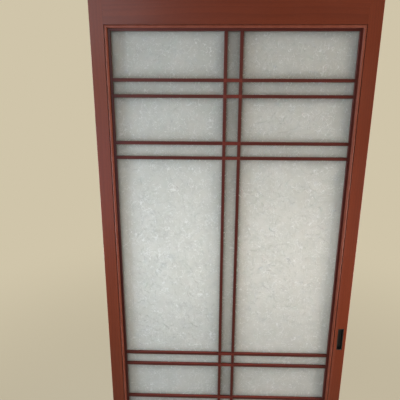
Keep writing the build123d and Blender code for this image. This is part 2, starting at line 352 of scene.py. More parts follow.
# %% [markdown]
# ## Grain: a board is a slice of a log
# Painted stripes look wrong where two faces of a board meet, because real grain runs through the
# wood. Here each board carries, in an attribute named log, where it lay in its tree: distance
# across and behind the pith, and length along it. The yearly rings are then cylinders round the
# pith, and every face cuts them rightly. The group is shared by the frame, the lattice and the
# stops, each with its own values.

# %% Log grain group
grain_group, given, result = new_group(
    "Log grain",
    {
        "Vector": ("Vector", (0.0, 0.0, 0.0)),
        "Ring Width": ("Float", 0.006),
        "Figure": ("Float", 0.5),
        "Streak": ("Float", 0.5),
        "Pore": ("Float", 0.5),
        "Early Wood": ("Color", (0.5, 0.3, 0.2, 1.0)),
        "Late Wood": ("Color", (0.2, 0.1, 0.05, 1.0)),
        "Pore Color": ("Color", (0.05, 0.02, 0.01, 1.0)),
    },
    {"Color": "Color", "Height": "Float"},
)
drift = add_node(
    grain_group,
    "ShaderNodeTexNoise",
    {"Vector": stretched(grain_group, given["Vector"], (7.0, 7.0, 1.1)), "Scale": 1.0},
)
wander = moved(grain_group, drift.outputs["Color"], (-0.5, -0.5, -0.5))
bent = moved(grain_group, given["Vector"], stretched(grain_group, wander, (0.03, 0.03, 0.0)))
radius = add_node(
    grain_group,
    "ShaderNodeVectorMath",
    {0: stretched(grain_group, bent, (1.0, 1.0, 0.0))},
    operation="LENGTH",
).outputs["Value"]
turns = math_node(grain_group, "DIVIDE", radius, given["Ring Width"])
growth = math_node(grain_group, "FRACT", turns)
ring = math_node(grain_group, "POWER", growth, 2.2)
STREAK_SCALE, CLOUD_SCALE = (520.0, 520.0, 7.0), (22.0, 22.0, 1.6)
PORE_SCALE = (2100.0, 2100.0, 90.0)
streak, cloud, pore_noise = (
    noise(grain_group, stretched(grain_group, given["Vector"], scale), 1.0, detail)
    for scale, detail in ((STREAK_SCALE, 3.0), (CLOUD_SCALE, 2.0), (PORE_SCALE, 1.0))
)
pores = ramp(grain_group, pore_noise, 0.60, 0.70)
ring_part = math_node(grain_group, "MULTIPLY", ring, given["Figure"])
streak_part = math_node(grain_group, "MULTIPLY_ADD", streak, given["Streak"], ring_part)
cloud_part = math_node(grain_group, "MULTIPLY_ADD", cloud, 0.9, streak_part)
late_share = ramp(grain_group, cloud_part, 0.35, 1.25)
wood = blend_colour(grain_group, late_share, given["Early Wood"], given["Late Wood"])
pore_share = math_node(grain_group, "MULTIPLY", pores, given["Pore"])
pored = blend_colour(grain_group, pore_share, wood, given["Pore Color"])
grain_group.links.new(pored, result.inputs["Color"])
relief = math_node(grain_group, "MULTIPLY_ADD", streak, 0.35, 0.65)
height = math_node(grain_group, "SUBTRACT", relief, pore_share)
grain_group.links.new(height, result.inputs["Height"])
print("log grain nodes:", len(grain_group.nodes))

# %% [markdown]
# ## Glaze and rub, with painted shade and a painted highlight
# Stain pools in a groove and rubs thin on an edge. Both are masks on the piece, from 0 to 1: glaze
# is how much stain has pooled, rub how far an edge is worn. On the lattice the glaze mask also
# carries painted shade, and on the frame's moulding the rub mask carries a painted highlight. A
# noise breaks them up so that neither looks drawn. The same group serves wood, enamel, steel, zinc
# and nylon, with other colours and other amounts.

# %% Glaze and rub group
wear_and_painted_light_group, given, result = new_group(
    "Glaze and rub",
    {
        "Vector": ("Vector", (0.0, 0.0, 0.0)),
        "Color": ("Color", (0.5, 0.5, 0.5, 1.0)),
        "Glaze Color": ("Color", (0.05, 0.02, 0.01, 1.0)),
        "Glaze": ("Float", 0.0),
        "Rub Color": ("Color", (0.6, 0.4, 0.3, 1.0)),
        "Rub": ("Float", 0.0),
        "Roughness": ("Float", 0.4),
        "Spread": ("Float", 0.06),
    },
    {"Color": "Color", "Roughness": "Float"},
)
patch = noise(wear_and_painted_light_group, given["Vector"], 45.0, 3.0)
rub_patch = ramp(wear_and_painted_light_group, patch, 0.38, 0.66, 0.6, 1.0)
touched = math_node(wear_and_painted_light_group, "MULTIPLY", given["Rub"], rub_patch)
glaze_patch = ramp(wear_and_painted_light_group, patch, 0.2, 0.7, 1.0, 0.75)
pooled = math_node(wear_and_painted_light_group, "MULTIPLY", given["Glaze"], glaze_patch)
rubbed = blend_colour(wear_and_painted_light_group, touched, given["Color"], given["Rub Color"])
glazed = blend_colour(wear_and_painted_light_group, pooled, rubbed, given["Glaze Color"])
wear_and_painted_light_group.links.new(glazed, result.inputs["Color"])
smear = noise(wear_and_painted_light_group, given["Vector"], 9.0, 4.0)
around = math_node(wear_and_painted_light_group, "SUBTRACT", smear, 0.5)
uneven = math_node(wear_and_painted_light_group, "MULTIPLY_ADD", around, given["Spread"], given["Roughness"])
wear_and_painted_light_group.links.new(uneven, result.inputs["Roughness"])
print("glaze and rub nodes:", len(wear_and_painted_light_group.nodes))

# %% [markdown]
# ## Three woods from one recipe
# The frame is a stained hardwood under a satin lacquer: a red brown body, a faint figure, and a
# thin coat that carries the sheen. The lattice took the stain darker, because thin stock drinks
# more of it, and the stops at the back were wiped once and left without a second coat.

# %% Wood materials


def stained_wood(name, early, late, glaze, rub, roughness, coat, ring_width, figure):
    """Grain, then glaze and rub, then a satin coat over a fine relief of fibres and pores."""
    material, tree, shader = new_material(
        name, Coat_Weight=coat, Coat_Roughness=0.24, Specular_IOR_Level=0.35
    )
    log = add_node(tree, "ShaderNodeAttribute", attribute_name="log").outputs["Vector"]
    grain = use_group(
        tree,
        grain_group,
        {
            "Vector": log,
            "Ring Width": ring_width,
            "Figure": figure,
            "Streak": 0.34,
            "Pore": 0.45,
            "Early Wood": early,
            "Late Wood": late,
            "Pore Color": glaze,
        },
    )
    worn = use_group(
        tree,
        wear_and_painted_light_group,
        {
            "Vector": log,
            "Color": grain["Color"],
            "Glaze Color": glaze,
            # The glaze mask carries painted shade on the lattice, and the rub mask a painted
            # highlight on the frame's moulding.
            "Glaze": painted(tree, "glaze"),
            "Rub Color": rub,
            "Rub": painted(tree, "rub"),
            "Roughness": roughness,
            "Spread": 0.16,
        },
    )
    tree.links.new(worn["Color"], shader.inputs["Base Color"])
    tree.links.new(worn["Roughness"], shader.inputs["Roughness"])
    bump(tree, shader, grain["Height"], 0.06 * MM, 0.6)
    return material


frame_wood = stained_wood(
    "frame wood",
    early=swatch(128, 54, 28),
    late=swatch(110, 44, 22),
    glaze=swatch(84, 34, 21),
    # The rub colour is also the painted highlight laid on the bead.
    rub=swatch(154, 85, 67),
    roughness=0.42,
    coat=0.2,
    ring_width=7 * MM,
    figure=0.28,
)
lattice_wood = stained_wood(
    "lattice wood",
    early=swatch(100, 38, 29),
    late=swatch(82, 30, 23),
    # The lattice's glaze colour is also the colour of its painted shade.
    glaze=swatch(46, 18, 15),
    rub=swatch(130, 48, 36),
    roughness=0.46,
    coat=0.08,
    ring_width=4 * MM,
    figure=0.4,
)
stop_wood = stained_wood(
    "stop wood",
    early=swatch(118, 60, 40),
    late=swatch(94, 43, 27),
    glaze=swatch(48, 20, 13),
    rub=swatch(150, 92, 64),
    roughness=0.55,
    coat=0.05,
    ring_width=5 * MM,
    figure=0.5,
)

# %% [markdown]
# ## Marking the boards
# Three masks go onto every wooden piece. The log attribute turns the board's own directions into
# the tree's. The rub mask needs no painting: on a square board each flat faces along an axis and
# each arris faces between two, so a normal's distance from the nearest axis finds the arrises.

# %% Board masks


def paint(piece, name, values):
    """Write one number, or one vector, for each vertex of a piece."""
    vector = values.ndim == 2
    kind = "FLOAT_VECTOR" if vector else "FLOAT"
    layer = piece.data.attributes.get(name) or piece.data.attributes.new(name, kind, "POINT")
    layer.data.foreach_set("vector" if vector else "value", values.astype(np.float32).ravel())


def mask_of(piece, name):
    """A mask as it was painted."""
    values = np.empty(len(piece.data.vertices), np.float32)
    piece.data.attributes[name].data.foreach_get("value", values)
    return values


def mark_board(piece, along):
    """log = (across, behind, along) + where the board lay in the log. rub = 1 at 45 degrees
    between axes: (1 - largest part of the normal - 0.12) / 0.17, kept from 0 to 1."""
    order = {"x": (2, 1, 0), "z": (0, 1, 2)}[along]
    place = np.array([rng.uniform(0.03, 0.12), rng.uniform(0.05, 0.1), rng.uniform(0.0, 3.0)])
    points = points_of(piece)[:, order]
    centre = points.mean(axis=0) * (1, 1, 0)
    paint(piece, "log", points - centre + place)
    largest = np.abs(normals_of(piece)).max(axis=1)
    paint(piece, "rub", np.clip((1 - largest - 0.12) / 0.17, 0, 1))


def dress(piece, node, material, body="panel"):
    """Let a finished piece stand for its solid: material, slot, replaced node and body."""
    piece.data.materials.clear()
    piece.data.materials.append(material)
    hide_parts(node)
    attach(piece, body)


# %% [markdown]
# ## Stiles and rails
# A joiner works the moulding on the whole board first, and saws the joints afterwards. The script
# does the same: it carries the moulded section along a straight line, then cuts the mitres, the
# shoulders, the mortises and the tongue with saw-like tools. Nothing of a tenon shows, yet it is
# there, so the piece could be taken apart.

# %% Moulded section
BEAD_WIDTH, BEAD_SINK, BEAD_FALL = 8.8 * MM, 0.3 * MM, 1.6 * MM
QUIRK_WIDTH, QUIRK_DEPTH = 1.2 * MM, 2.4 * MM
LIP_DEPTH, RABBET_WIDTH = 8.0 * MM, 7.0 * MM
ARRIS_RADIUS = 1.5 * MM
STICKING = BEAD_WIDTH + QUIRK_WIDTH
shoulder_half = sight_half + STICKING


def moulded_section(face):
    """(outward, depth) points: the bead is the arc over its width whose rise is the fall, radius
    (w * w / 4 + s * s) / (2 * s), then the quirk, the flat face with two rounded arrises, and the
    rabbet."""
    radius = (BEAD_WIDTH**2 / 4 + BEAD_FALL**2) / (2 * BEAD_FALL)
    reach = math.degrees(math.asin(BEAD_WIDTH / 2 / radius))
    bead = arc((BEAD_WIDTH / 2, BEAD_SINK + radius), radius, -90 - reach, -90 + reach, 14)
    full = STICKING + face
    r = ARRIS_RADIUS
    quirk = [(BEAD_WIDTH, QUIRK_DEPTH), (STICKING, QUIRK_DEPTH), (STICKING, 0)]
    front = arc((full - r, r), r, -90, 0, 5)
    back = arc((full - r, frame_depth - r), r, 0, 90, 5)
    rabbet = [(RABBET_WIDTH, frame_depth), (RABBET_WIDTH, LIP_DEPTH), (0, LIP_DEPTH)]
    return np.concatenate([bead, quirk, front, back, rabbet])


def board(section, start, outward, along):
    """A straight board: section point (u, d) lies at start + u * outward + d * (0, 1, 0), and
    again at the same place plus the vector along."""
    u, d = section.T
    ring = np.array(start) + np.outer(u, outward) + np.outer(d, (0, 1, 0))
    return tube(np.stack([ring, ring + np.array(along)]))


print("points in the moulded section:", len(moulded_section(44 * MM)))

# %% [markdown]
# The tools that cut the joints are plain prisms. A stile loses a notch with one slanted corner,
# which is the mitre through the moulding. A rail keeps what lies inside its own outline. The
# finger pull and the two rollers sit in pockets, so that their flanges lie flush and their hollows
# stay open.

# %% Joint tools
OVER = 2 * MM
TENON_LENGTH, TENON_THICKNESS, TENON_MARGIN = 30 * MM, 12 * MM, 12 * MM
TWIN_GAP, MORTISE_SPARE = 60 * MM, 1 * MM
TONGUE_HEIGHT, TONGUE_THICKNESS = 14 * MM, 19 * MM
BOARD_EASE = 0.35 * MM
MASK_MARGIN, SEAM_MARGIN, FACE_MARGIN = 0.15 * MM, 0.1 * MM, 0.02 * MM
ENDS = {"top": (1, sight_top, head_z), "bottom": (-1, sight_bottom, foot_z)}


def seat_outline(side, end):
    """What a stile loses to a rail, seen from the front: the mitre first, then the shoulder."""
    up, sight_z, edge_z = ENDS[end]
    inner, outer = side * (sight_half - OVER), side * shoulder_half
    beyond = edge_z + up * OVER
    mitre = [(inner, sight_z - up * OVER), (outer, sight_z + up * STICKING)]
    return mitre + [(outer, beyond), (inner, beyond)]


def rail_outline(end):
    """What a rail keeps, seen from the front: mitred across the moulding, square at the
    shoulders."""
    up, sight_z, edge_z = ENDS[end]
    half = [
        (sight_half - OVER, sight_z - up * OVER),
        (shoulder_half, sight_z + up * STICKING),
        (shoulder_half, edge_z + up * OVER),
    ]
    return half + [(-x, z) for x, z in reversed(half)]


def tenon_spans(end):
    """Lowest and highest point of each tenon on a rail: one on the top rail, two on the deep
    bottom rail."""
    if end == "top":
        return [(sight_top + STICKING + TENON_MARGIN, head_z - TONGUE_HEIGHT - TENON_MARGIN)]
    low, high = foot_z + TENON_MARGIN, sight_bottom - STICKING - TENON_MARGIN
    length = (high - low - TWIN_GAP) / 2
    return [(low, low + length), (high - length, high)]


def tenon_block(side, span, reach):
    """A box from just inside the shoulder to the end of a tenon, or of its mortise."""
    x = sorted([side * (shoulder_half - OVER), side * (shoulder_half + reach)])
    half = TENON_THICKNESS / 2
    return block((x[0], -half, span[0]), (x[1], half, span[1]))


def tongue_tool():
    """Two long boxes that cut the head down to the tongue in the middle of its thickness."""
    half, z = TONGUE_THICKNESS / 2, head_z - TONGUE_HEIGHT
    reach, top = panel_half + OVER, head_z + OVER
    steps = [(front_y - OVER, -half), (half, back_y + OVER)]
    return make_piece("tongue tool", [block((-reach, a, z), (reach, b, top)) for a, b in steps])


def finish_board(piece, node, along):
    """Soften the arrises, mask the moulding and dress the board. glaze = half of how far behind
    the face a point of the bead lies, from 0 at 0.5 mm to 1 at 3 mm, and 1 in the eased edges of a
    shoulder line. rub = 0.7 on the whole moulding down to its quirk: a painted highlight, which
    lays the rub colour over the bead where it would catch the light."""
    merge_flats(piece)
    soften(piece, BOARD_EASE)
    mark_board(piece, along)
    x, y, z = points_of(piece).T
    past_sight = np.maximum(z - sight_top, sight_bottom - z)
    outside = np.maximum(np.abs(x) - shoulder_half, past_sight - STICKING)
    depth = np.clip((y - front_y - 0.5 * MM) / (2.5 * MM), 0, 1)
    glaze = np.where(outside < MASK_MARGIN - QUIRK_WIDTH, 0.5 * depth, 0.0)
    seam = np.abs(np.abs(x) - shoulder_half) < 2 * BOARD_EASE
    seam &= (past_sight > STICKING - SEAM_MARGIN) & (np.abs(y) < -front_y - FACE_MARGIN)
    paint(piece, "glaze", np.where(seam, 1.0, glaze))
    # Painted highlight: the whole moulding lighter in the rub colour, where the bead would catch
    # the light.
    proud = (outside < MASK_MARGIN) & (y < front_y + QUIRK_DEPTH + 0.3 * MM)
    paint(piece, "rub", np.where(proud, 0.7, mask_of(piece, "rub")))
    dress(piece, node, frame_wood)
    print(piece.name, len(piece.data.polygons), "faces")


# %% [markdown]
# The stiles are the two uprights that carry everything: the rails are tenoned into them, and the
# pull is let into the right one. A joiner marks them out as a pair, and one loop makes them here,
# so that they can't differ by mistake. The pull's pocket has two steps: a shallow seat for the
# flange, and a deep one for the cup.

# %% Make the stiles
pull_low, pull_high = low_high("finger_pull")
PULL_FLANGE, PULL_FLANGE_THICKNESS = 2.0 * MM, 1.2 * MM
pull_seat = block(
    (pull_low[0], front_y - OVER, pull_low[2]),
    (pull_high[0], front_y + PULL_FLANGE_THICKNESS, pull_high[2]),
)
pull_pocket = block(
    (pull_low[0] + PULL_FLANGE, front_y - OVER, pull_low[2] + PULL_FLANGE),
    (pull_high[0] - PULL_FLANGE, pull_high[1], pull_high[2] - PULL_FLANGE),
)
for name, side in SIDES:
    section = moulded_section(panel_half - shoulder_half)
    foot, length = (side * sight_half, front_y, foot_z), (0, 0, head_z - foot_z)
    stile = make_piece(f"{name}_stile_board", [board(section, foot, (side, 0, 0), length)])
    seats = [front_prism(seat_outline(side, end), front_y - OVER, back_y + OVER) for end in ENDS]
    carve(stile, make_piece("rail seats", seats))
    spans = tenon_spans("top") + tenon_spans("bottom")
    mortises = [tenon_block(side, span, TENON_LENGTH + MORTISE_SPARE) for span in spans]
    carve(stile, make_piece("mortises", mortises))
    carve(stile, tongue_tool())
    if side > 0:
        carve(stile, make_piece("pull seat", [pull_seat]))
        carve(stile, make_piece("pull pocket", [pull_pocket]))
    finish_board(stile, f"{name}_stile", "z")

# %% [markdown]
# The rails close the frame above and below. Each is moulded too long and trimmed to its outline
# in one cut. Its tenons are added after that, which is simpler than leaving them standing while
# the rest is cut away. A roller's pocket follows its housing: a slot with round ends for the
# flange, and a box for the wheel.

# %% Make the rails
HOUSING_LENGTH, HOUSING_FLANGE_THICKNESS = 70 * MM, 1.5 * MM


def slot_prism(centre_x, half_length, half_width, z0, z1):
    """A slot with round ends, carried from height z0 to height z1."""
    reach = half_length - half_width
    right = arc((centre_x + reach, 0), half_width, -90, 90, 16)
    left = arc((centre_x - reach, 0), half_width, 90, 270, 16)
    outline = np.concatenate([right, left])
    return tube(np.stack([np.column_stack([outline, np.full(len(outline), z)]) for z in (z0, z1)]))


def roller_pockets():
    """The flange seats and the housing boxes of both rollers, each cut a little past the foot."""
    seats, boxes = [], []
    below, half_box = foot_z - OVER, HOUSING_LENGTH / 2
    for side, _ in SIDES:
        low, high = low_high(f"{side}_roller_housing")
        middle, half = (low + high) / 2, (high - low) / 2
        top = foot_z + HOUSING_FLANGE_THICKNESS
        seats.append(slot_prism(middle[0], half[0], half[1], below, top))
        near, far = middle[0] - half_box, middle[0] + half_box
        boxes.append(block((near, low[1], below), (far, high[1], high[2])))
    return make_piece("roller flange seats", seats), make_piece("roller boxes", boxes)


for end, (up, sight_z, edge_z) in ENDS.items():
    face = abs(edge_z - sight_z) - STICKING
    reach = shoulder_half + OVER
    rail = make_piece(
        f"{end}_rail_board",
        [board(moulded_section(face), (-reach, front_y, sight_z), (0, 0, up), (2 * reach, 0, 0))],
    )
    outline = front_prism(rail_outline(end), front_y - OVER, back_y + OVER)
    carve(rail, make_piece("rail outline", [outline]), "INTERSECT")
    tenons = [tenon_block(s, span, TENON_LENGTH) for s in (-1, 1) for span in tenon_spans(end)]
    carve(rail, make_piece("tenons", tenons), "UNION")
    if end == "top":
        carve(rail, tongue_tool())
    else:
        for tool in roller_pockets():
            carve(rail, tool)
    finish_board(rail, f"{end}_rail", "x")

# %% [markdown]
# ## Lattice
# The thin bars are called kumiko. Each is planed square with a fine eased arris, then halved where
# it meets another, so that the faces come out flush. The arris is eased before the laps are sawn,
# which leaves the crossings crisp.

# %% Make the lattice
STUB_THICKNESS, STUB_WIDTH, STUB_LENGTH = 5 * MM, 6 * MM, 6 * MM
LAP_CLEARANCE = 0.1 * MM
KUMIKO_EASE = 0.55 * MM
# Painted shade on the border strips: the left strip darkest and the bottom one a little darker, as
# the lips shade them.
STRIP_SHADE = {"left": 0.5, "right": 0.0, "top": 0.0, "bottom": 0.2}
lap_y = (lattice_front + lattice_back) / 2


def bar_piece(name, low, high, laps, stubs, marks=()):
    """A square bar with eased arrises, less its laps, plus the stubs at its ends. Marks are the
    heights at which an upright bar gets a ring of corners, so that a mask may change there."""
    (x0, y0, z0), (x1, y1, z1) = low, high
    ring = np.array([(x0, y0), (x1, y0), (x1, y1), (x0, y1)])
    heights = [z0, *marks, z1]
    rings = np.stack([np.column_stack([ring, np.full(4, z)]) for z in heights])
    bar = make_piece(name, [tube(rings)])
    soften(bar, KUMIKO_EASE, 3)
    if laps:
        carve(bar, make_piece("laps", [block(*lap) for lap in laps]))
    if stubs:
        carve(bar, make_piece("stubs", [block(*stub) for stub in stubs]), "UNION")
    bar.data.shade_smooth()
    bar.data.set_sharp_from_angle(angle=math.radians(40))
    bar.modifiers.new("flats", "WEIGHTED_NORMAL").keep_sharp = True
    settle(bar)
    return bar


def dress_lattice(piece, node, along, base_shade=0.0):
    """Mask and dress a piece of the lattice. The glaze mask here is painted shade: it deepens from
    the front to the paper, as the recess would shade the bar, and it starts from the base shade,
    which darkens a border strip that a lip shades. On an upright piece rub = 0.9 on the face of a
    crossing, where it was planed flush after the joint went together, and 0 elsewhere. A level
    piece keeps the rub of its arrises."""
    mark_board(piece, along)
    x, y, z = points_of(piece).T
    behind = (y - lattice_front) / (lattice_back - lattice_front)
    # Painted shade: darker from the front of the bar towards the paper, raised by the strip's base
    # shade.
    paint(piece, "glaze", np.clip(base_shade + 0.6 * behind, 0, 1))
    if along == "z":
        inside = [(z > z0 - SEAM_MARGIN) & (z < z1 + SEAM_MARGIN) for z0, z1 in bar_spans]
        crossing = np.max(inside, axis=0)
        flush = (np.abs(x) < paper_half) & (y < lattice_front + KUMIKO_EASE)
        paint(piece, "rub", np.where(flush, crossing * 0.9, 0.0))
    dress(piece, node, lattice_wood)


def stub_box(along, start, stop, middle, spare=0.0):
    """A box as thick and wide as a stub, and more by the spare on each side, from start to stop
    along its own direction. It is centred on the middle across, and on the lattice in depth."""
    thick, wide = STUB_THICKNESS / 2 + spare, STUB_WIDTH / 2 + spare
    low, high = sorted((start, stop))
    if along == "x":
        return (low, lap_y - thick, middle - wide), (high, lap_y + thick, middle + wide)
    return (middle - wide, lap_y - thick, low), (middle + wide, lap_y + thick, high)


def end_stubs(along, low, high, middle):
    """The stubs at both ends of a bar, each rooted a little inside it."""
    return [
        stub_box(along, low - STUB_LENGTH, low + OVER, middle),
        stub_box(along, high - OVER, high + STUB_LENGTH, middle),
    ]


BACK_LAP, FRONT_LAP = (lap_y, lattice_back + OVER), (lattice_front - OVER, lap_y)
for node, (x0, x1) in zip(upright_names, upright_spans):
    laps = [
        (
            (x0 - OVER, BACK_LAP[0], z0 - LAP_CLEARANCE),
            (x1 + OVER, BACK_LAP[1], z1 + LAP_CLEARANCE),
        )
        for z0, z1 in bar_spans
    ]
    stubs = end_stubs("z", paper_bottom, paper_top, (x0 + x1) / 2)
    low, high = (x0, lattice_front, paper_bottom), (x1, lattice_back, paper_top)
    marks = [z for z0, z1 in bar_spans for z in (z0 - MM, z0, z1, z1 + MM)]
    dress_lattice(bar_piece(f"{node}_bar", low, high, laps, stubs, sorted(marks)), node, "z")

for node, (z0, z1) in zip(bar_names, bar_spans):
    laps = [
        (
            (x0 - LAP_CLEARANCE, FRONT_LAP[0], z0 - OVER),
            (x1 + LAP_CLEARANCE, FRONT_LAP[1], z1 + OVER),
        )
        for x0, x1 in upright_spans
    ]
    stubs = end_stubs("x", -paper_half, paper_half, (z0 + z1) / 2)
    low, high = (-paper_half, lattice_front, z0), (paper_half, lattice_back, z1)
    dress_lattice(bar_piece(f"{node}_bar", low, high, laps, stubs), node, "x")

corner_heights = [(sheet_top + paper_top) / 2, (sheet_bottom + paper_bottom) / 2]
for edge, side in SIDES:
    node = f"{edge}_border_strip"
    heights = [(z0 + z1) / 2 for z0, z1 in bar_spans] + corner_heights
    mouth, end = side * (paper_half - OVER), side * (paper_half + STUB_LENGTH)
    mortises = [stub_box("x", mouth, end, z, LAP_CLEARANCE) for z in heights]
    strip = bar_piece(f"{node}_bar", *low_high(node), mortises, [])
    dress_lattice(strip, node, "z", STRIP_SHADE[edge])

for edge, up, inner_z in (("top", 1, paper_top), ("bottom", -1, paper_bottom)):
    node = f"{edge}_border_strip"
    low, high = low_high(node)
    low[0], high[0] = -paper_half, paper_half
    mouth, end = inner_z - up * OVER, inner_z + up * STUB_LENGTH
    mortises = [
        stub_box("z", mouth, end, (x0 + x1) / 2, LAP_CLEARANCE) for x0, x1 in upright_spans
    ]
    stubs = end_stubs("x", -paper_half, paper_half, (low[2] + high[2]) / 2)
    strip = bar_piece(f"{node}_bar", low, high, mortises, stubs)
    dress_lattice(strip, node, "x", STRIP_SHADE[edge])
print("lattice pieces:", len(bar_names) + 6)

# %% [markdown]
# ## Paper
# Shoji paper is a felt of long plant fibres. Held in front of a light it glows, because light
# enters one face, scatters between the fibres and leaves by the other. Subsurface scattering does
# exactly that, so the sheet is a closed body one millimetre thick. It is pinned by the bars and
# breathes a little between them.

# %% Paper surface
WAVE_HEIGHT, PINNED_REACH = 0.22 * MM, 26 * MM
# Reach of the painted shade beside every bar and border, and of the painted shadow right of each
# upright and of the left border.
SHADE_REACH, LEE_SHADE_REACH = 10 * MM, 12 * MM
STEPS_OFF, EVEN_STEP = np.array([0, 2, 4.5, 8, 13, 20, 30]) * MM, 15 * MM
CELL_SIDES_X = sorted([-paper_half, paper_half, *np.ravel(upright_spans)])
CELL_SIDES_Z = sorted([paper_bottom, paper_top, *np.ravel(bar_spans)])


def side_gap(x, z):
    """Distance from the nearest bar or border."""
    gap_x = np.min([np.abs(x - edge_x) for edge_x in CELL_SIDES_X], axis=0)
    return np.minimum(gap_x, np.min([np.abs(z - edge_z) for edge_z in CELL_SIDES_Z], axis=0))


def painted_shade_share(x, z):
    """Painted shade = 0.68 exp(-g / 10 mm) + 0.46 exp(-l / 12 mm), at most 1. g is the distance
    from the nearest bar or border, and l from the upright one on the left. It darkens the sheet
    beside every bar and border, where shade falls, and more just right of each upright and of the
    left border, where shadows of light from the left fall."""
    lee = np.min([np.where(x > edge_x, x - edge_x, 1.0) for edge_x in CELL_SIDES_X], axis=0)
    share = 0.68 * np.exp(-side_gap(x, z) / SHADE_REACH) + 0.46 * np.exp(-lee / LEE_SHADE_REACH)
    return np.minimum(share, 1.0)


def paper_wave(x, z):
    """How far the sheet stands out towards the back: a sum of four long sines, times a smooth step
    that is 0 on every bar and border and 1 from 26 mm off."""
    free = np.clip(side_gap(x, z) / PINNED_REACH, 0, 1)
    inside = (np.abs(x) < paper_half) & (z < paper_top) & (z > paper_bottom)
    swell = np.sin(19 * x + 7 * z) + np.sin(-11 * x + 16 * z + 1) + np.sin(41 * x - 5 * z + 2)
    swell = swell + np.sin(23 * x + 31 * z + 4)
    return WAVE_HEIGHT * inside * free**2 * (3 - 2 * free) * swell / 4


def grid_lines(low, high, sides):
    """Lines that crowd towards every side of a cell: each run between two sides takes the steps
    from both of its ends, as far as its middle, and even steps of about 15 mm across what is
    left."""
    lines = [low, high]
    for start, stop in zip(sides[:-1], sides[1:]):
        steps = STEPS_OFF[STEPS_OFF < 0.45 * (stop - start)]
        first, last = start + steps[-1], stop - steps[-1]
        count = max(round((last - first) / EVEN_STEP), 1)
        lines += [*(start + steps), *np.linspace(first, last, count + 1), *(stop - steps)]
    return np.unique(np.round(lines, 7))


def sheet_skin():
    """Two grids, front and back, that share the wave, joined by a rim: corner (i, j) of a grid is
    column i and row j."""
    x, z = np.meshgrid(
        grid_lines(paper_low[0], paper_high[0], CELL_SIDES_X),
        grid_lines(paper_low[2], paper_high[2], CELL_SIDES_Z),
        indexing="ij",
    )
    wave = paper_wave(x, z)
    faces_y = (paper_low[1], paper_high[1])
    points = [np.stack([x, y + wave, z], axis=-1).reshape(-1, 3) for y in faces_y]
    index = np.arange(x.size).reshape(x.shape)
    corners = [index[:-1, :-1], index[1:, :-1], index[1:, 1:], index[:-1, 1:]]
    front = np.stack(corners, axis=-1).reshape(-1, 4)
    rim = np.concatenate([index[:-1, 0], index[-1, :-1], index[:0:-1, -1], index[0, :0:-1]])
    beside = np.roll(rim, -1)
    rim_faces = np.stack([rim, beside, beside + x.size, rim + x.size], axis=-1)
    faces = np.concatenate([front, front + x.size, rim_faces])
    return np.concatenate(points), faces.tolist()


paper = make_piece("paper_sheet_washi", [sheet_skin()])
paper.data.shade_smooth()
paper.data.set_sharp_from_angle(angle=math.radians(40))
x, y, z = points_of(paper).T
# Painted shade per point: the sheet darker beside every bar and border, and more right of each
# upright and of the left border.
paint(paper, "painted_shade", painted_shade_share(x, z))
print("paper faces:", len(paper.data.polygons))

# %% [markdown]
# The finer fibres are too many to model. A contour line of a noise wanders just as a loose fibre
# does: the group takes a noise, keeps the thin band where it crosses one half, and lets a second
# noise break the band into lengths. The same group draws the fine web and the middling threads, at
# two scales.

# %% Fibre web group
web_group, given, result = new_group(
    "Fibre web",
    {
        "Vector": ("Vector", (0.0, 0.0, 0.0)),
        "Scale": ("Float", 60.0),
        "Width": ("Float", 0.02),
        "Cover": ("Float", 0.5),
        "Offset": ("Vector", (0.0, 0.0, 0.0)),
    },
    {"Mask": "Float"},
)
place = moved(web_group, given["Vector"], given["Offset"])
field = noise(web_group, place, given["Scale"], 1.0)
off_line = math_node(web_group, "ABSOLUTE", math_node(web_group, "SUBTRACT", field, 0.5))
line = ramp(web_group, off_line, 0.0, given["Width"], 1.0, 0.0)
second = moved(web_group, place, (3.7, 1.9, 5.3))
gaps = noise(web_group, second, math_node(web_group, "MULTIPLY", given["Scale"], 0.8), 2.0)
edge = math_node(web_group, "SUBTRACT", 1.0, given["Cover"])
kept = ramp(web_group, gaps, edge, math_node(web_group, "ADD", edge, 0.08))
web_group.links.new(math_node(web_group, "MULTIPLY", line, kept), result.inputs["Mask"])

# %% [markdown]
# Paper is never one tone. Pulp gathers in pale clumps and single fibres catch the light. Over them
# goes a painted shade, which greys the sheet beside the bars and borders. Each of these is one
# blend over the last, so any of them can be changed alone.
# The height takes in the same fibres as the colour, so that light and relief agree.

# %% Paper material
paper_material, tree, shader = new_material(
    "washi",
    Subsurface_Weight=1.0,
    Subsurface_Radius=(1.0, 0.97, 0.92),
    Subsurface_Scale=5 * MM,
    Specular_IOR_Level=0.3,
)
where = object_place(tree)
flat = stretched(tree, where, (1.0, 0.3, 1.0))
fine = use_group(
    tree, web_group, {"Vector": flat, "Scale": 95.0, "Width": 0.026, "Cover": 0.55}
)["Mask"]
thread = use_group(
    tree,
    web_group,
    {"Vector": flat, "Scale": 42.0, "Width": 0.022, "Cover": 0.5, "Offset": (4.0, 1.0, 2.0)},
)["Mask"]
clump = ramp(tree, noise(tree, flat, 15.0, 2.0), 0.3, 0.7)
felt = noise(tree, flat, 520.0, 3.0)
tone = blend_colour(tree, clump, swatch(202, 202, 195), swatch(210, 209, 202))
tone = blend_colour(tree, math_node(tree, "MULTIPLY", fine, 0.9), tone, swatch(231, 231, 227))
tone = blend_colour(tree, thread, tone, swatch(230, 230, 226))
# Painted shade: the dark tone laid over the sheet beside the bars and borders.
tone = blend_colour(tree, painted(tree, "painted_shade"), tone, swatch(120, 121, 116))
tree.links.new(tone, shader.inputs["Base Color"])
tree.links.new(ramp(tree, felt, 0.2, 0.8, 0.55, 0.75), shader.inputs["Roughness"])
lines = math_node(tree, "ADD", fine, thread)
bump(tree, shader, math_node(tree, "MULTIPLY_ADD", felt, 0.4, lines), 0.12 * MM, 0.7)
dress(paper, "paper_sheet", paper_material)

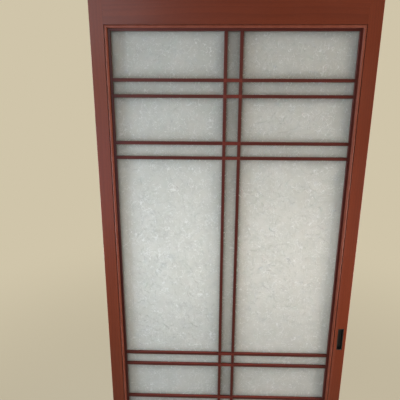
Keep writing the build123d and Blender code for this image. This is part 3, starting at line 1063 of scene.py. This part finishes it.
# %% [markdown]
# The coarse fibres stand proud of the sheet, and they are what the eye finds first. Each is a
# closed three-sided thread with pointed ends, 24 triangles in all, laid on the front or the back.
# Its heading turns at a steady rate with a little drift, so it curls as a wet fibre dries.

# %% Loose fibres
FIBRE_STEPS, FIBRE_MARGIN = 5, 1.5 * MM
FRONT_FIBRES, BACK_FIBRES = 7200, 2600


def fibre_lines(count):
    """Centrelines on the sheet, one to a row, with their headings and half widths. Heading a_j =
    a_0 + k s_j + w s_j ** 2, place = running sum of (cos a, sin a) times the step. A line that
    would run off the paper is left out."""
    length = rng.gamma(4.0, 5.5 * MM, count).clip(8 * MM, 60 * MM)
    start_x = rng.uniform(-paper_half, paper_half, count)
    start_z = rng.uniform(paper_bottom, paper_top, count)
    heading = rng.uniform(0, 2 * math.pi, count)
    turn = rng.normal(0, 45, count)
    drift = rng.normal(0, 900, count)
    half_width = rng.gamma(4.0, 0.1 * MM, count).clip(0.16 * MM, 0.8 * MM)
    s = np.linspace(0, 1, FIBRE_STEPS + 1)[None, :] * length[:, None]
    angle = heading[:, None] + turn[:, None] * s + drift[:, None] * s**2
    step = (length / FIBRE_STEPS)[:, None]
    x = start_x[:, None] + np.cumsum(np.cos(angle) * step, axis=1)
    z = start_z[:, None] + np.cumsum(np.sin(angle) * step, axis=1)
    keep = (np.abs(x) < paper_half - FIBRE_MARGIN).all(axis=1)
    keep &= ((z < paper_top - FIBRE_MARGIN) & (z > paper_bottom + FIBRE_MARGIN)).all(axis=1)
    return x[keep], z[keep], angle[keep], half_width[keep]


def fibre_skin(count, face_y, outward):
    """Threads laid on one face of the sheet. Ring j has three corners: two in the sheet and one
    out of it, all of them drawn in to the centreline at both ends."""
    x, z, angle, half_width = fibre_lines(count)
    y = face_y + paper_wave(x, z)
    taper = np.sin(np.linspace(0, math.pi, FIBRE_STEPS + 1)) ** 0.5
    taper[[0, -1]] = 0
    half = half_width[:, None] * taper
    across_x, across_z = -np.sin(angle) * half, np.cos(angle) * half
    rise = np.minimum(0.45 * half, 0.24 * MM)
    sunk, proud = y - outward * 0.3 * rise, y + outward * rise
    trio = (x + across_x, sunk, z + across_z), (x - across_x, sunk, z - across_z), (x, proud, z)
    corners = np.stack([np.stack(corner, axis=-1) for corner in trio], axis=2)
    n = len(x)
    inner = corners[:, 1:-1].reshape(n, -1, 3)
    points = np.concatenate([corners[:, :1, 2], inner, corners[:, -1:, 2]], axis=1)
    per_fibre = points.shape[1]
    k = np.arange(3)
    beside = (k + 1) % 3
    first = np.stack([np.zeros(3, int), 1 + beside, 1 + k], axis=-1)
    last_ring = 1 + 3 * (FIBRE_STEPS - 2)
    last = np.stack([np.full(3, per_fibre - 1), last_ring + k, last_ring + beside], axis=-1)
    ring_start = 1 + 3 * np.arange(FIBRE_STEPS - 2)[:, None]
    quads = np.stack(
        [ring_start + k, ring_start + beside, ring_start + 3 + beside, ring_start + 3 + k], axis=-1
    ).reshape(-1, 4)
    shift = (np.arange(n) * per_fibre)[:, None, None]
    faces = (first + shift).reshape(-1, 3).tolist() + (last + shift).reshape(-1, 3).tolist()
    faces += (quads + shift).reshape(-1, 4).tolist()
    return points.reshape(-1, 3), faces


fibre_material, tree, shader = new_material(
    "loose fibre", Subsurface_Weight=0.3, Subsurface_Scale=1 * MM, Specular_IOR_Level=0.3
)
where = object_place(tree)
gloss = noise(tree, where, 40.0, 2.0)
fibre_tone = blend_colour(tree, gloss, swatch(204, 205, 199), swatch(229, 230, 225))
tree.links.new(fibre_tone, shader.inputs["Base Color"])
tree.links.new(ramp(tree, gloss, 0.3, 0.7, 0.45, 0.65), shader.inputs["Roughness"])
bump(tree, shader, noise(tree, where, 900.0, 2.0), 0.05 * MM, 0.5)

for name, count, face_y, outward in (
    ("front_fibres", FRONT_FIBRES, paper_low[1], -1),
    ("back_fibres", BACK_FIBRES, paper_high[1], 1),
):
    fibres = make_piece(f"paper_{name}", [fibre_skin(count, face_y, outward)])
    fibres.data.shade_smooth()
    fibres.data.materials.append(fibre_material)
    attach(fibres, "panel")
    print(fibres.name, len(fibres.data.polygons), "faces")

# %% [markdown]
# ## Back stops
# Four thin laths hold the paper from behind. They meet in mitres, and their inner back arris is
# chamfered. They are pinned, so that the paper can be renewed, and the low pin heads stand a
# quarter of a millimetre out of the wood.

# %% Make the back stops
STOP_CHAMFER, STOP_EASE = 3.0 * MM, 0.3 * MM
stop_low, stop_high = low_high("left_back_stop")
stop_front, stop_back = stop_low[1], stop_high[1]


def stop_skin(edge):
    """A lath with mitred ends. In section it runs from the outer side to the chamfer; each point
    (u, y) of the section lies u inside the sheet's edge, and so the mitre shortens its line by u
    at either end."""
    width = sheet_half - paper_half
    chamfer = [(width - STOP_CHAMFER, stop_back), (width, stop_back - STOP_CHAMFER)]
    u, y = np.array([(0, stop_front), (0, stop_back), *chamfer, (width, stop_front)]).T
    low_x, high_x = -sheet_half + u, sheet_half - u
    low_z, high_z = sheet_bottom + u, sheet_top - u
    rings = {
        "left": [(low_x, low_z), (low_x, high_z)],
        "right": [(high_x, low_z), (high_x, high_z)],
        "top": [(low_x, high_z), (high_x, high_z)],
        "bottom": [(low_x, low_z), (high_x, low_z)],
    }[edge]
    return tube(np.stack([np.column_stack([x, y, z]) for x, z in rings]))


for edge, along in (("left", "z"), ("right", "z"), ("top", "x"), ("bottom", "x")):
    node = f"{edge}_back_stop"
    lath = make_piece(f"{node}_lath", [stop_skin(edge)])
    soften(lath, STOP_EASE)
    mark_board(lath, along)
    paint(lath, "glaze", np.zeros(len(lath.data.vertices)))
    dress(lath, node, stop_wood)

# %% [markdown]
# ## Turned and pressed metal
# A lathe shape is a short profile of (radius, height) points turned round an axis. The same
# function makes pin heads and screws. A screw head then loses a cross for the driver.

# %% Lathe helper
ON_AXIS = 1e-9


def lathe(profile, centre, axis, segments):
    """Point (r, h) of the profile, turned by the angle a, lies at centre + h * axis + r * (cos a *
    side + sin a * up), where side and up stand square to the axis."""
    r, h = np.array(profile).T
    axis = Vector(axis).normalized()
    side = axis.orthogonal().normalized()
    up = axis.cross(side)
    a = np.linspace(0, 2 * math.pi, segments, endpoint=False)
    wheel = np.outer(np.cos(a), side) + np.outer(np.sin(a), up)
    rings = np.array(centre) + np.outer(h, axis)[:, None, :] + r[:, None, None] * wheel[None]
    return tube(rings)


def dome(radius, height, steps=4):
    """Profile of a low dome that ends on the axis: r = R cos t, h = H sin t for t from 0 to 90
    degrees."""
    t = np.linspace(0, math.pi / 2, steps + 1)[:-1]
    return [*zip(radius * np.cos(t), height * np.sin(t)), (ON_AXIS, height)]


# %% [markdown]
# The fittings share one recipe: black enamel on the pull, blackened steel for its screws and the
# pins, zinc plate for the rollers' fittings, and nylon for the wheels. No plate or paint is quite
# even, so a noise blends two close tones, and a rubbed edge is brighter. With one recipe, wear
# comes in patches of the same size on pieces that sit side by side.

# %% Metal materials


def worn_metal(name, base, light, rub, metallic, roughness, grit_scale, grit_depth, coat=0.0):
    """A metal or an enamel: two close tones in patches, rubbed brighter on the edges, over a fine
    grit."""
    material, tree, shader = new_material(
        name, Metallic=metallic, Coat_Weight=coat, Coat_Roughness=0.2
    )
    where = object_place(tree)
    tone = blend_colour(tree, noise(tree, where, 160.0, 4.0), base, light)
    worn = use_group(
        tree,
        wear_and_painted_light_group,
        {
            "Vector": where,
            "Color": tone,
            "Rub Color": rub,
            "Rub": painted(tree, "rub"),
            "Roughness": roughness,
            "Spread": 0.2,
        },
    )
    tree.links.new(worn["Color"], shader.inputs["Base Color"])
    tree.links.new(worn["Roughness"], shader.inputs["Roughness"])
    bump(tree, shader, noise(tree, where, grit_scale, 3.0), grit_depth, 0.6)
    return material


enamel = worn_metal(
    "black enamel",
    base=swatch(15, 18, 17),
    light=swatch(23, 28, 25),
    rub=swatch(52, 50, 46),
    metallic=0.0,
    roughness=0.34,
    grit_scale=1400.0,
    grit_depth=0.03 * MM,
    coat=0.3,
)
screw_steel = worn_metal(
    "blackened steel",
    base=swatch(42, 42, 41),
    light=swatch(62, 61, 58),
    rub=swatch(140, 136, 128),
    metallic=0.9,
    roughness=0.38,
    grit_scale=2600.0,
    grit_depth=0.02 * MM,
)
zinc = worn_metal(
    "zinc plate",
    base=swatch(150, 151, 150),
    light=swatch(182, 183, 180),
    rub=swatch(205, 205, 202),
    metallic=1.0,
    roughness=0.34,
    grit_scale=1800.0,
    grit_depth=0.02 * MM,
)
nylon = worn_metal(
    "moulded nylon",
    base=swatch(208, 205, 192),
    light=swatch(221, 219, 208),
    rub=swatch(232, 230, 222),
    metallic=0.0,
    roughness=0.46,
    grit_scale=700.0,
    grit_depth=0.03 * MM,
)

# %% [markdown]
# Small pins go through the back of each lath, near its middle line, about every 180 mm. A joiner
# taps them home and leaves a low round head. Only that head shows, so a short lathe profile is
# enough, and all of them are kept as one piece.

# %% Stop pins
PIN_HEAD_RADIUS, PIN_HEAD_HEIGHT = 0.95 * MM, 0.25 * MM
PIN_SPACING = 180 * MM
PIN_END = 55 * MM


def pin_places():
    """Even steps along each lath: the run between its end margins is cut into whole steps near the
    spacing."""
    inset = (sheet_half - paper_half - STOP_CHAMFER) / 2
    places = []
    for low, high, across, upright in (
        (sheet_bottom, sheet_top, sheet_half - inset, True),
        (-sheet_half, sheet_half, sheet_top - inset, False),
        (-sheet_half, sheet_half, sheet_bottom + inset, False),
    ):
        steps = round((high - low - 2 * PIN_END) / PIN_SPACING)
        for t in np.linspace(low + PIN_END, high - PIN_END, steps + 1):
            places += [(-across, t), (across, t)] if upright else [(t, across)]
    return places


pin_shank = [(ON_AXIS, -1.0 * MM), (0.5 * MM, -1.0 * MM), (PIN_HEAD_RADIUS, -0.1 * MM)]
pin_profile = pin_shank + dome(PIN_HEAD_RADIUS, PIN_HEAD_HEIGHT)
pin_skins = [lathe(pin_profile, (x, stop_back, z), (0, 1, 0), 16) for x, z in pin_places()]
pins = make_piece("stop_pins", pin_skins)
pins.data.shade_smooth()
paint(pins, "rub", np.clip((points_of(pins)[:, 1] - stop_back) / PIN_HEAD_HEIGHT, 0, 1) * 0.6)
pins.data.materials.append(screw_steel)
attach(pins, "panel")
print("pins:", len(pin_skins))

# %% [markdown]
# ## Finger pull
# The pull is one blank of steel, pressed in a die: a rounded flange, straight walls, and a floor
# that meets the walls in a scoop. It is drawn as rings that shrink and sink. Each ring is a
# rounded rectangle, so the corners tighten as the wall goes down, as they do in a real pressing.

# %% Make the finger pull
PULL_CORNER, PULL_WALL, PULL_SCOOP = 1.5 * MM, 1.0 * MM, 3.0 * MM
pull_middle = (pull_low + pull_high) / 2
pull_half = (pull_high - pull_low) / 2


def rounded_ring(half_x, half_z, corner, y, per_corner=6):
    """A rounded rectangle at depth y: four quarter circles of the corner radius, joined by
    straight sides."""
    corners = []
    for number, (sx, sz) in enumerate(((1, 1), (-1, 1), (-1, -1), (1, -1))):
        centre = (sx * (half_x - corner), sz * (half_z - corner))
        corners.append(arc(centre, corner, 90 * number, 90 * number + 90, per_corner))
    x, z = np.concatenate(corners).T
    return np.column_stack([pull_middle[0] + x, np.full(len(x), y), pull_middle[2] + z])


def pull_profile():
    """(inset, depth, corner) of each ring, from the flange's outer edge over its crown, down the
    wall, through the scoop and onto the floor, then back up outside: the blank keeps its wall all
    the way."""
    flange, wall, scoop = PULL_FLANGE, PULL_WALL, PULL_SCOOP
    depth = pull_high[1] - front_y
    inner = flange + wall
    rise = [(0.0, 0.15), (0.25, -0.05), (0.7, -0.2), (1.6, -0.25), (2.3, -0.15), (2.8, 0.2)]
    crown = [(inset * MM, y * MM) for inset, y in rise] + [(inner, 0.9 * MM)]
    bowl = arc((inner + scoop, depth - wall - scoop), scoop, 180, 90, 6)
    inside = crown + [tuple(point) for point in bowl]
    outside = [(flange, depth), (flange, PULL_FLANGE_THICKNESS), (0.0, PULL_FLANGE_THICKNESS)]
    rings = [(inset, y, max(PULL_CORNER - 0.4 * inset, 0.9 * MM)) for inset, y in inside]
    return rings, [(inset, y, 1.0 * MM) for inset, y in outside]


def ring_at(inset, depth, corner):
    """A ring of the pull, given its inset from the flange's edge."""
    return rounded_ring(pull_half[0] - inset, pull_half[2] - inset, corner, front_y + depth)


inside, outside = pull_profile()
shell = [ring_at(*ring) for ring in [*reversed(inside), *reversed(outside)]]
pull = make_piece("finger_pull_cup", [tube(np.stack(shell))])
pull.data.shade_smooth()
pull.data.set_sharp_from_angle(angle=math.radians(50))
height = front_y - points_of(pull)[:, 1]
paint(pull, "rub", np.clip((height + 0.05 * MM) / (0.3 * MM), 0, 1))
dress(pull, "finger_pull", enamel)
print("pull faces:", len(pull.data.polygons))

# %% [markdown]
# ## Screws
# Two small round heads hold the pull, and four larger ones hold the roller housings. Each head is
# a dome on a short shank, less a cross.

# %% Make the screws


def screw(size, length, centre, axis):
    """A round-headed screw. The axis points out of the head, and the centre lies under it."""
    head, height, shank = size
    profile = [(ON_AXIS, -length), (0.3 * shank, shank - length), (shank, 3 * shank - length)]
    profile += [(shank, 0), (head * 0.98, 0), *dome(head, height, 6)]
    return lathe(profile, centre, axis, 32)


def cross_tool(size, centre, axis):
    """Two crossed boxes that reach from above the head down into it."""
    head, height, _ = size
    long_half, thin_half = 0.62 * head, 0.13 * head
    low, high = 0.25 * height, 1.6 * height
    directions = [np.array(v, float) for v in ((1, 0, 0), (0, 0, 1), (0, 1, 0))]
    across = [v for v in directions if abs(v @ axis) < 0.5]
    parts = []
    for a, b in ((long_half, thin_half), (thin_half, long_half)):
        ring = np.array([(-a, -b), (a, -b), (a, b), (-a, b)])
        flat = np.array(centre) + ring[:, :1] * across[0] + ring[:, 1:] * across[1]
        parts.append(tube(np.stack([flat + axis * h for h in (low, high)])))
    return parts


def make_screws(node, size, length, places, axis, material):
    """A group of like screws, crossed and dressed."""
    axis = np.array(axis, float)
    piece = make_piece(f"{node}_round", [screw(size, length, place, axis) for place in places])
    for number in range(2):
        bars = [cross_tool(size, place, axis)[number] for place in places]
        carve(piece, make_piece("cross", bars))
    piece.data.shade_smooth()
    piece.data.set_sharp_from_angle(angle=math.radians(40))
    reach = (points_of(piece) - np.array(places[0])) @ axis
    paint(piece, "rub", np.clip(reach / size[1] - 0.5, 0, 1))
    dress(piece, node, material)


# head radius, head height, shank radius
PULL_SCREW = (2.5 * MM, 1.4 * MM, 1.3 * MM)
ROLLER_SCREW = (3.4 * MM, 1.2 * MM, 1.7 * MM)
head, height, _ = PULL_SCREW
low, high = low_high("pull_screws")
places = [(pull_middle[0], low[1] + height, z) for z in (low[2] + head, high[2] - head)]
length = high[1] - low[1] - height
make_screws("pull_screws", PULL_SCREW, length, places, (0, -1, 0), screw_steel)
head, height, _ = ROLLER_SCREW
for side, _ in SIDES:
    node = f"{side}_roller_screws"
    low, high = low_high(node)
    places = [(x, 0.0, low[2] + height) for x in (low[0] + head, high[0] - head)]
    length = high[2] - low[2] - height
    make_screws(node, ROLLER_SCREW, length, places, (0, 0, -1), zinc)

# %% [markdown]
# ## Rollers
# The housings and axles are right as they come, so they only take a zinc finish. The wheels are
# moulded, and a moulding shows its mould: a sunk web between hub and rim, stiffened by ribs, and a
# rounded groove for the rail. Those ribs also make it plain that a wheel has turned.

# %% Make the wheels
RIM_HALF, HUB_RADIUS, WEB_HALF = 4.0 * MM, 6.5 * MM, 2.4 * MM
GROOVE_HALF, GROOVE_DEPTH, BORE_RADIUS = 2.2 * MM, 1.8 * MM, 2.55 * MM
RIB_COUNT, RIB_HALF = 6, 0.6 * MM
WHEEL_SEGMENTS = 96


def wheel_profile(radius, hub_half):
    """(radius, height) ring of the wheel's section, closed on itself: bore, hub end, sunk web, rim
    and groove on one side, then the same mirrored."""
    rim_inner = radius - 3.0 * MM
    half = [
        (BORE_RADIUS, hub_half),
        (HUB_RADIUS - 0.6 * MM, hub_half),
        (HUB_RADIUS, hub_half - 0.5 * MM),
        (HUB_RADIUS + 0.2 * MM, WEB_HALF),
        (rim_inner - 0.2 * MM, WEB_HALF),
        (rim_inner, RIM_HALF),
        (radius - 0.4 * MM, RIM_HALF),
        (radius, RIM_HALF - 0.4 * MM),
        (radius, GROOVE_HALF),
        (radius - 0.6 * GROOVE_DEPTH, 0.5 * GROOVE_HALF),
    ]
    return half + [(radius - GROOVE_DEPTH, 0.0)] + [(r, -h) for r, h in reversed(half)]


def wheel_skin(centre, radius, hub_half):
    """The profile turned round the axle, its last point joined to its first."""
    r, h = np.array(wheel_profile(radius, hub_half)).T
    a = np.linspace(0, 2 * math.pi, WHEEL_SEGMENTS, endpoint=False)
    turned = [np.outer(np.cos(a), r), np.outer(np.ones_like(a), h), np.outer(np.sin(a), r)]
    return tube(np.stack(turned, axis=-1) + centre, joined=True)


def rib_skins(centre, radius):
    """Six boxes that bridge the sunk web on both sides, from inside the hub to inside the rim."""
    skins = []
    inner, outer, half = HUB_RADIUS - 0.5 * MM, radius - 2.6 * MM, RIM_HALF - 0.5 * MM
    box_points, box_faces = block((inner, -half, -RIB_HALF), (outer, half, RIB_HALF))
    for angle in np.arange(RIB_COUNT) * 2 * math.pi / RIB_COUNT:
        c, s = math.cos(angle), math.sin(angle)
        turn = np.array([(c, 0, s), (0, 1, 0), (-s, 0, c)])
        skins.append((box_points @ turn + np.array(centre), box_faces))
    return skins


for side, _ in SIDES:
    node = f"{side}_roller_wheel"
    low, high = low_high(node)
    centre, radius = (low + high) / 2, (high[2] - low[2]) / 2
    wheel = make_piece(f"{node}_moulded", [wheel_skin(centre, radius, (high[1] - low[1]) / 2)])
    carve(wheel, make_piece("ribs", rib_skins(centre, radius)), "UNION")
    wheel.data.shade_smooth()
    wheel.data.set_sharp_from_angle(angle=math.radians(35))
    x, y, z = (points_of(wheel) - centre).T
    paint(wheel, "rub", np.clip((np.hypot(x, z) - radius + 0.5 * MM) / (0.5 * MM), 0, 1))
    dress(wheel, node, nylon, f"{side}_wheel")
    for carried in (f"{side}_roller_housing", f"{side}_roller_axle"):
        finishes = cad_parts[carried].data.materials
        finishes.clear()
        finishes.append(zinc)
print("wheel faces:", len(wheel.data.polygons))

# %% [markdown]
# ## Floor and world
# The floor is pale and matt, and keeps the panel's shadow. Far from the panel it glows in the
# backdrop's own colour, so that no horizon shows. The world does two jobs. To the camera it is a
# plain pale backdrop, and a glossy surface sees that backdrop too where it mirrors what lies
# behind the panel. To everything else it is a faint, almost grey light, so that the bars' shadows
# on the paper stay clear.

# %% Floor and world
BACKDROP = swatch(208, 197, 170)
FLOOR_GLOW = 0.7
floor_material, tree, shader = new_material("studio floor", Roughness=0.8, Specular_IOR_Level=0.2)
where = object_place(tree)
mottle = noise(tree, where, 3.0, 3.0)
floor_tone = blend_colour(tree, mottle, swatch(150, 144, 132), swatch(158, 152, 140))
tree.links.new(floor_tone, shader.inputs["Base Color"])
glow = add_node(tree, "ShaderNodeEmission", {"Color": BACKDROP, "Strength": 1.0})
camera_ray = add_node(tree, "ShaderNodeLightPath").outputs["Is Camera Ray"]
away = add_node(tree, "ShaderNodeVectorMath", {0: where}, operation="LENGTH").outputs["Value"]
share = math_node(tree, "MULTIPLY", camera_ray, ramp(tree, away, 0.4, 3.2, FLOOR_GLOW, 1.0))
parts = {0: share, 1: shader.outputs[0], 2: glow.outputs[0]}
mixed = add_node(tree, "ShaderNodeMixShader", parts)
tree.links.new(mixed.outputs[0], tree.nodes["Material Output"].inputs["Surface"])
FLOOR_HALF = 9.0
corners = np.array([(-1, -1), (1, -1), (1, 1), (-1, 1)]) * FLOOR_HALF
floor_mesh = bpy.data.meshes.new("studio_floor")
floor_mesh.from_pydata(np.column_stack([corners, np.zeros(4)]).tolist(), [], [(0, 1, 2, 3)])
floor_mesh.materials.append(floor_material)
studio_floor = bpy.data.objects.new("studio_floor", floor_mesh)
bpy.context.scene.collection.objects.link(studio_floor)

FAINT_FRONT, FAINT_BACK = (0.07, 0.066, 0.058, 1.0), (0.15, 0.15, 0.15, 1.0)
world = bpy.data.worlds.new("studio")
world.use_nodes = True
bpy.context.scene.world = world
tree = world.node_tree
tree.nodes.clear()
direction = add_node(tree, "ShaderNodeTexCoord").outputs["Generated"]
depth = add_node(tree, "ShaderNodeSeparateXYZ", {0: direction}).outputs["Y"]
faint = blend_colour(tree, ramp(tree, depth, -0.2, 0.2), FAINT_FRONT, FAINT_BACK)
faint_light = add_node(tree, "ShaderNodeBackground", {"Color": faint, "Strength": 1.0})
backdrop = add_node(tree, "ShaderNodeBackground", {"Color": BACKDROP, "Strength": 1.0})
rays = add_node(tree, "ShaderNodeLightPath").outputs
behind = math_node(tree, "GREATER_THAN", depth, 0.0)
mirrored = math_node(tree, "MAXIMUM", rays["Is Glossy Ray"], rays["Is Transmission Ray"])
mirrored_behind = math_node(tree, "MULTIPLY", mirrored, behind)
seen = math_node(tree, "MAXIMUM", rays["Is Camera Ray"], mirrored_behind)
parts = {0: seen, 1: faint_light.outputs[0], 2: backdrop.outputs[0]}
mixed = add_node(tree, "ShaderNodeMixShader", parts)
add_node(tree, "ShaderNodeOutputWorld", {"Surface": mixed.outputs[0]})

# %% [markdown]
# ## Lamps
# Light that grazes a flat panel shows its relief best, so two lamps stand far to the left, almost
# in the panel's plane: one level with the top cells, and a lower one. The bars and the bead throw
# long soft shadows to the right under them. Two warmer lamps on the right, one of them high, fill
# those shadows without hiding them. Two cool lamps behind the camera on the left do one thing,
# which is to lay a sheen on the left stile and the top rail. A faint wide one in front lifts the
# faces of the bars, and a faint one behind glows through the paper.

# %% Lamps


def area_lamp(name, place, target, width, height, power, colour):
    """A rectangular lamp at a place, facing a target, with its height upright."""
    light = bpy.data.lights.new(name, "AREA")
    light.shape = "RECTANGLE"
    light.size, light.size_y = width, height
    light.energy = power
    light.color = colour
    lamp = bpy.data.objects.new(name, light)
    lamp.location = place
    lamp.rotation_euler = (Vector(target) - Vector(place)).to_track_quat("-Z", "Y").to_euler()
    bpy.context.scene.collection.objects.link(lamp)


area_lamp(
    "high graze", (-2.068, -0.365, 1.8), (0.0, 0.0, 1.8), 0.45, 0.6, 28.5, (0.89, 0.97, 1.0)
)
area_lamp("left graze", (-1.2, -0.21, 1.1), (0.0, 0.0, 1.1), 0.3, 0.8, 14.1, (0.71, 0.87, 1.0))
area_lamp(
    "right graze", (1.2, -0.21, 1.02), (0.0, 0.0, 1.02), 0.3, 0.8, 15.0, (1.0, 0.9, 0.83)
)
area_lamp("high warm", (1.6, -0.42, 2.9), (0.0, 0.0, 1.2), 0.6, 0.6, 30.6, (1.0, 0.85, 0.66))
area_lamp("sheen", (-1.35, -2.9, 2.5), (-0.25, 0.0, 1.9), 1.1, 0.8, 14.2, (0.8, 0.9, 1.0))
area_lamp("low sheen", (-1.25, -2.9, 0.85), (-0.42, 0.0, 1.1), 0.5, 1.3, 6.6, (0.46, 0.7, 1.0))
area_lamp("front", (0.0, -1.9, 1.7), (0.0, 0.0, 1.7), 2.2, 0.3, 2.4, (1.0, 0.9, 0.7))
area_lamp("glow", (0.0, 0.5, 1.12), (0.0, 0.0, 1.12), 1.0, 0.25, 3.1, (1.0, 1.0, 1.0))


# %% [markdown]
# ## Camera
# The place and aim of the camera were solved from the lattice lines of the photograph. The view
# looks down by a little over fifteen degrees, and cuts off the head and the foot of the panel.

# %% Camera
CAMERA_PLACE = (-0.071, -1.3415, 1.714)
CAMERA_PITCH, CAMERA_YAW, CAMERA_ROLL = map(math.radians, (15.4385, -1.4201, 0.2459))
FOCAL_SHARE = 398.23 / 400


def camera_turn(pitch, yaw, roll):
    """Columns are the camera's right, up and backward directions: forward is (sin y cos p, cos y
    cos p, -sin p), right is level, and the roll turns right and up about forward."""
    forward = Vector(
        (math.sin(yaw) * math.cos(pitch), math.cos(yaw) * math.cos(pitch), -math.sin(pitch))
    )
    level = Vector((math.cos(yaw), -math.sin(yaw), 0.0))
    upright = level.cross(forward)
    right = math.cos(roll) * level + math.sin(roll) * upright
    up = -math.sin(roll) * level + math.cos(roll) * upright
    return Matrix((right, up, -forward)).transposed()


camera_data = bpy.data.cameras.new("camera")
camera_data.sensor_width = 36.0
camera_data.lens = camera_data.sensor_width * FOCAL_SHARE
camera = bpy.data.objects.new("camera", camera_data)
camera.matrix_world = Matrix.Translation(CAMERA_PLACE) @ camera_turn(
    CAMERA_PITCH, CAMERA_YAW, CAMERA_ROLL
).to_4x4()
bpy.context.scene.collection.objects.link(camera)
bpy.context.scene.camera = camera
bpy.context.scene.view_settings.view_transform = "Standard"

# %% Finish
bpy.context.view_layer.update()
